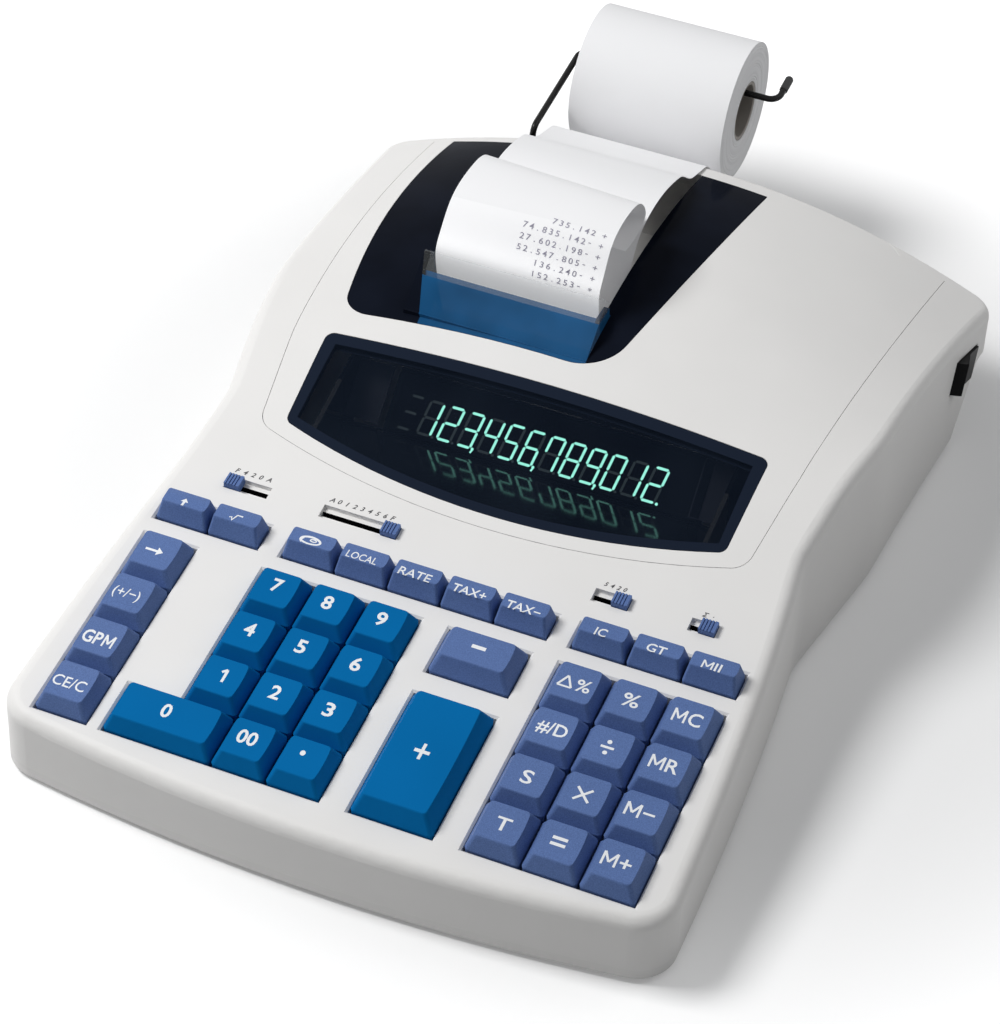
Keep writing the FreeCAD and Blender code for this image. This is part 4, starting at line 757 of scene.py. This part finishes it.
def segment_shape(letter, x0, low, high):
    """One bar with pointed ends, slanted."""
    start, end = (Vector(point) for point in segment_line(letter))
    along = (end - start).normalized()
    across = Vector((-along.y, along.x)) * SEGMENT / 2
    start = start + along * 0.12 * MM
    end = end - along * 0.12 * MM
    tip = along * SEGMENT / 2
    near = [start, start + tip - across, end - tip - across]
    far = [end, end - tip + across, start + tip + across]
    outline = [(x0 + point.x + DIGIT_SLANT * point.y, point.y - DIGIT_HEIGHT / 2) for point in near + far]
    return slab(outline, low, high)


def dot_shape(x0, low, high):
    """The decimal point at the foot of a digit."""
    x = x0 + DIGIT_WIDTH + 0.9 * MM
    return slab(ellipse(x, -0.1 * MM - DIGIT_HEIGHT / 2, 0.5 * MM, 0.5 * MM, 12), low, high)


def comma_tail(x0, low, high):
    """The tail that makes a comma of the decimal point."""
    foot = -DIGIT_HEIGHT / 2
    start = (x0 + DIGIT_WIDTH + 1.0 * MM, foot - 0.3 * MM)
    end = (x0 + DIGIT_WIDTH + 0.5 * MM, foot - 1.5 * MM)
    return stroke([start, end], 0.6 * MM, low, high)


def on_tube(shapes, drop=0.0):
    """Lays flat shapes on the tube's face, moved down its slope by the drop."""
    points, faces = merged(shapes)
    return [TUBE @ (point - Vector((0, drop, 0))) for point in points], faces


FACE = 0.01 * MM
LIT_TOP = 0.06 * MM
UNLIT_TOP = 0.04 * MM
DOT_TOP = 0.05 * MM
lit_shapes = []
unlit_shapes = []
SHOWN = "123456789012"
COMMAS = (2, 5, 8, 11)
for index, figure in enumerate(SHOWN):
    x0 = FIRST_DIGIT + index * DIGIT_PITCH
    for letter in "abcdefg":
        shining = letter in SEGMENTS[figure]
        target = lit_shapes if shining else unlit_shapes
        target.append(segment_shape(letter, x0, FACE, LIT_TOP if shining else UNLIT_TOP))
    marked = index in COMMAS
    (lit_shapes if marked else unlit_shapes).append(dot_shape(x0, FACE, DOT_TOP))
    if marked and index < len(SHOWN) - 1:
        lit_shapes.append(comma_tail(x0, FACE, DOT_TOP))
# Three unlit dashes to the left of the digits
DASH_FROM = FIRST_DIGIT - 6.8 * MM
DASH_TO = FIRST_DIGIT - 3.0 * MM
for line in (0.0, DIGIT_HEIGHT / 2, DIGIT_HEIGHT):
    dash = [(x + DIGIT_SLANT * line, line - DIGIT_HEIGHT / 2) for x in (DASH_FROM, DASH_TO)]
    unlit_shapes.append(stroke(dash, 0.8 * MM, FACE, UNLIT_TOP))
piece("display_digits", *on_tube(lit_shapes, DIGIT_DROP), lit, "calculator", "tube_glass")
piece("display_dim_segments", *on_tube(unlit_shapes, DIGIT_DROP), unlit, "calculator", "tube_glass")


def rectangle(left, right, near, far):
    """Corners in metres from sides in mm, turning left."""
    return in_mm([(left, near), (right, near), (right, far), (left, far)])


# Framed blinds beside the tube, and a shroud that closes the gap behind its top
for side, left, right in (("left", -70.0, -57.5), ("right", 52.0, 64.0)):
    outline = rectangle(left, right, -9.5, 10)
    frame_line = stroke(outline, 0.6 * MM, -0.4 * MM, 0.2 * MM, True)
    panel = slab(outline, -1.0 * MM, -0.4 * MM)
    piece("display_blind_" + side, *on_tube([panel, frame_line]), blind, "calculator", "black_plastic")
shroud = slab(rectangle(-66.0, 66.0, -6.6, -6.2), 49.3 * MM, 57.9 * MM)
piece("display_shroud", *shroud, slot_black, "calculator", "black_plastic")


# Smooth curves
def spline(spots, per_run):
    """A smooth line through points in a plane, by cubic runs over the length along the chords."""
    spots = np.array(spots, float)
    steps = np.hypot(*np.diff(spots, axis=0).T)
    count = len(spots)
    system = np.zeros((count, count))
    right = np.zeros((count, 2))
    system[0, 0] = system[-1, -1] = 1.0
    slopes = np.diff(spots, axis=0) / steps[:, None]
    for index in range(1, count - 1):
        before, after = steps[index - 1], steps[index]
        system[index, index - 1:index + 2] = before, 2 * (before + after), after
        right[index] = 6 * (slopes[index] - slopes[index - 1])
    bends = np.linalg.solve(system, right)
    line = []
    for index, step in enumerate(steps):
        for share in np.arange(per_run) / per_run:
            rest = 1 - share
            line.append(rest * spots[index] + share * spots[index + 1] + step ** 2 / 6 * (
                (rest ** 3 - rest) * bends[index] + (share ** 3 - share) * bends[index + 1]))
    line.append(spots[-1])
    return np.array(line)


# Paper web: y and z in mm from the roll, over the rear rim, round the platen and out to the curl
WEB_RUN = [
    (149.0, 42.0), (144.5, 46.0), (140.1, 49.9), (135.7, 53.9), (131.3, 57.9), (126.9, 61.9), (121.5, 64.0),
    (115.5, 65.8), (109.5, 68.0), (104.0, 71.8), (98.5, 75.7), (92.0, 78.0), (84.0, 79.9), (75.0, 80.8),
    (67.0, 80.3), (58.5, 77.5), (52.0, 70.0), (46.5, 60.0), (41.5, 48.7), (40.7, 45.4), (38.3, 43.0),
    (35.0, 42.2), (31.7, 43.0), (29.3, 45.4), (28.4, 48.7), (25.6, 57.0), (23.2, 66.0), (21.6, 73.0),
    (21.6, 78.6), (23.8, 82.4), (30.6, 91.6), (43.6, 94.6), (60.6, 87.6), (62.4, 82.6),
    (57.0, 79.9), (44.5, 80.0),
]
PAPER_LEFT = (-24.7 - 29.0) * MM
PAPER_WIDTH = 58.0 * MM
PAPER_THICK = 0.12 * MM
CURL_FOOT = 187.6 * MM
CURL_CREST = 221.6 * MM
CURL_SKEW = Vector((0, 6.0 * MM, -1.8 * MM))
web_line = spline(WEB_RUN, 9) * MM
web_steps = np.hypot(*np.diff(web_line, axis=0).T)
web_length = float(np.sum(web_steps))
web_travel = np.concatenate([[0.0], np.cumsum(web_steps)])

NEARBY = 0.4 * MM


def web_point(travel, across, lift=0.0):
    """A point of the web at a travel along it and a distance across it, lifted off its face."""
    behind, spot, ahead = (
        Vector((0, *(np.interp(place, web_travel, web_line[:, side]) for side in (0, 1))))
        for place in (max(travel - NEARBY, 0.0), travel, min(travel + NEARBY, web_length)))
    along = (ahead - behind).normalized()
    normal = Vector((0, -along.z, along.y))
    share = min(max((travel - CURL_FOOT) / (CURL_CREST - CURL_FOOT), 0.0), 1.0)
    skew = share * share * (3 - 2 * share) * (1 - across / PAPER_WIDTH)
    return Vector((PAPER_LEFT + across, 0, 0)) + spot + normal * lift + CURL_SKEW * skew


def paper_piece():
    """The web as a thin solid sheet: two layers of points, joined along the four edges."""
    columns = 24
    rows = len(web_line)
    points = []
    for lift in (0.0, PAPER_THICK):
        for travel in web_travel:
            for column in range(columns + 1):
                points.append(web_point(travel, PAPER_WIDTH * column / columns, lift))
    width = columns + 1
    layer = rows * width
    faces = []
    for row in range(rows - 1):
        for column in range(columns):
            a = row * width + column
            faces.append([a, a + 1, a + width + 1, a + width])
            faces.append([layer + a, layer + a + width, layer + a + width + 1, layer + a + 1])
        for column in (0, columns):
            a = row * width + column
            edge = [a, a + width, layer + a + width, layer + a]
            faces.append(edge if column == 0 else edge[::-1])
    for row in (0, rows - 1):
        for column in range(columns):
            a = row * width + column
            edge = [a, layer + a, layer + a + 1, a + 1]
            faces.append(edge if row == 0 else edge[::-1])
    return piece("paper_web_sheet", points, faces, web_paper, "calculator", "paper", True)


web = paper_piece()
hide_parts("paper_web")


# Paper roll: wound body with its layers showing on the ends, and the core
def lathe(profile, segments, name, look, body):
    """Turns a closed profile of (radius, x) about the roll's axis."""
    low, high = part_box("paper_roll")
    axis = (low + high) / 2
    points = []
    count = len(profile)
    for step in range(segments):
        turn = 2 * math.pi * step / segments
        for radius, x in profile:
            points.append(axis + Vector((x, radius * math.cos(turn), radius * math.sin(turn))))
    faces = []
    for step in range(segments):
        after = (step + 1) % segments
        for index in range(count):
            following = (index + 1) % count
            faces.append([step * count + index, step * count + following,
                          after * count + following, after * count + index])
    return piece(name, points, faces, look, body, "paper", True)


ROLL_RADIUS = 25.3 * MM
CORE_RADIUS = 9.6 * MM
CORE_OUTER = 11.0 * MM
ROLL_HALF = 29.25 * MM
ROLL_SEGMENTS = 144
CORE_SEGMENTS = 96
ROLL_RINGS = 44
LAYER_STEP = 0.22
offsets = np.random.default_rng(7).uniform(0.0, LAYER_STEP, ROLL_RINGS) * MM
right_end = []
for index in range(ROLL_RINGS):
    radius = CORE_OUTER + (ROLL_RADIUS - 0.1 * MM - CORE_OUTER) * index / (ROLL_RINGS - 1)
    right_end.append((radius, ROLL_HALF - offsets[index]))
left_end = [(radius, -x) for radius, x in reversed(right_end)]
wound = right_end + [(ROLL_RADIUS, ROLL_HALF - 0.25 * MM), (ROLL_RADIUS, -ROLL_HALF + 0.25 * MM)] + left_end
roll = lathe(wound, ROLL_SEGMENTS, "paper_roll_wound", paper, "paper_roll")
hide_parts("paper_roll")
core = [(CORE_RADIUS, ROLL_HALF - 0.5 * MM), (CORE_RADIUS + 0.2 * MM, ROLL_HALF - 0.3 * MM),
        (CORE_OUTER - 0.1 * MM, ROLL_HALF - 0.3 * MM), (CORE_OUTER - 0.1 * MM, -ROLL_HALF + 0.3 * MM),
        (CORE_RADIUS + 0.2 * MM, -ROLL_HALF + 0.3 * MM), (CORE_RADIUS, -ROLL_HALF + 0.5 * MM)]
lathe(core, CORE_SEGMENTS, "paper_roll_core", core_card, "paper_roll")

# Print on the web: one figure to a column, the sign in a column of its own
PRINT_LINES = ["735.142", "74.835.142-", "27.602.198-", "52.547.805-", "136.240-", "152.253-"]
PRINT_START = 206.5 * MM
PRINT_PITCH = 3.6 * MM
PRINT_COLUMN = 2.3 * MM
PRINT_RIGHT = 50.5 * MM
SIGN_AT = 54.5 * MM
PRINT_HEIGHT = 1.9 * MM
PRINT_STRETCH = 1.2
PRINT_LIFT = PAPER_THICK + 0.1 * MM
POINT_DROP = 0.75 * MM
for row, text in enumerate(PRINT_LINES):
    last = len(text) - 1
    columns = [(PRINT_RIGHT - PRINT_COLUMN * (last - index), figure) for index, figure in enumerate(text)]
    columns.append((SIGN_AT, "*" if row == len(PRINT_LINES) - 1 else "+"))
    shapes = []
    for across, figure in columns:
        points, faces = lettering(figure, PRINT_HEIGHT, 0.006, 0.0, 0.00001)
        travel = PRINT_START - row * PRINT_PITCH - (POINT_DROP if figure == "." else 0.0)
        laid = [web_point(travel + point.y, across + PRINT_STRETCH * point.x, PRINT_LIFT + point.z)
                for point in points]
        shapes.append((laid, faces))
    piece("print_line_%d" % (row + 1), *merged(shapes), print_ink, "calculator", "paper")

# Tear edge: a row of teeth along the top of the clear plate
TEAR_Y = 20.0 * MM
TEAR_Z = 77.6 * MM
TEETH = 44
TOOTH_FRONT = TEAR_Y - 0.45 * MM
TOOTH_FOOT = TEAR_Z - 0.1 * MM
tooth_shapes = []
tooth_pitch = 2 * HOOD_HALF / TEETH
for index in range(TEETH):
    x0 = HOOD_X - HOOD_HALF + index * tooth_pitch
    x1 = x0 + tooth_pitch
    around = ((x0, TOOTH_FRONT), (x1, TOOTH_FRONT), (x1, TEAR_Y), (x0, TEAR_Y))
    corners = [Vector((x, y, TOOTH_FOOT)) for x, y in around]
    tip = Vector((x0 + tooth_pitch / 2, TEAR_Y - 0.2 * MM, TEAR_Z + 0.6 * MM))
    tooth_shapes.append((corners + [tip], [[3, 2, 1, 0], [0, 1, 4], [1, 2, 4], [2, 3, 4], [3, 0, 4]]))
piece("tear_teeth", *merged(tooth_shapes), lid, "printer_lid", "lid_plastic")

# Black sleeve on the wire's hook: places along the hook from its end, and the thickness there, in mm
WIRE_RADIUS = 1.15 * MM
SLEEVE = [(-6.0, 0.05), (-5.8, 0.35), (0.6, 0.35), (1.1, 0.1), (1.2, -1.1)]
SLEEVE_SIDES = 24
hook_end = Vector((16.0 * MM, 178.25 * MM, 70.35 * MM))
hook_way = Vector((0, 12.0, 1.5)).normalized()
hook_side = Vector((1, 0, 0))
hook_up = hook_side.cross(hook_way)
sleeve_points = []
for along, thickness in SLEEVE:
    middle = hook_end + hook_way * along * MM
    radius = WIRE_RADIUS + thickness * MM
    for step in range(SLEEVE_SIDES):
        turn = 2 * math.pi * step / SLEEVE_SIDES
        sleeve_points.append(middle + (hook_side * math.cos(turn) + hook_up * math.sin(turn)) * radius)
sleeve_faces = []
for start in range(0, (len(SLEEVE) - 1) * SLEEVE_SIDES, SLEEVE_SIDES):
    for step in range(SLEEVE_SIDES):
        after = (step + 1) % SLEEVE_SIDES
        ahead = start + SLEEVE_SIDES
        sleeve_faces.append([start + step, start + after, ahead + after, ahead + step])
sleeve_faces.append(list(range((len(SLEEVE) - 1) * SLEEVE_SIDES, len(SLEEVE) * SLEEVE_SIDES)))
piece("wire_tip", sleeve_points, sleeve_faces, rubber, "calculator", "rubber", True)

# Floor
bpy.ops.mesh.primitive_plane_add(size=8.0, location=(0, 0, 0))
floor = bpy.context.object
floor.name = "floor"
floor.data.materials.append(floor_look)
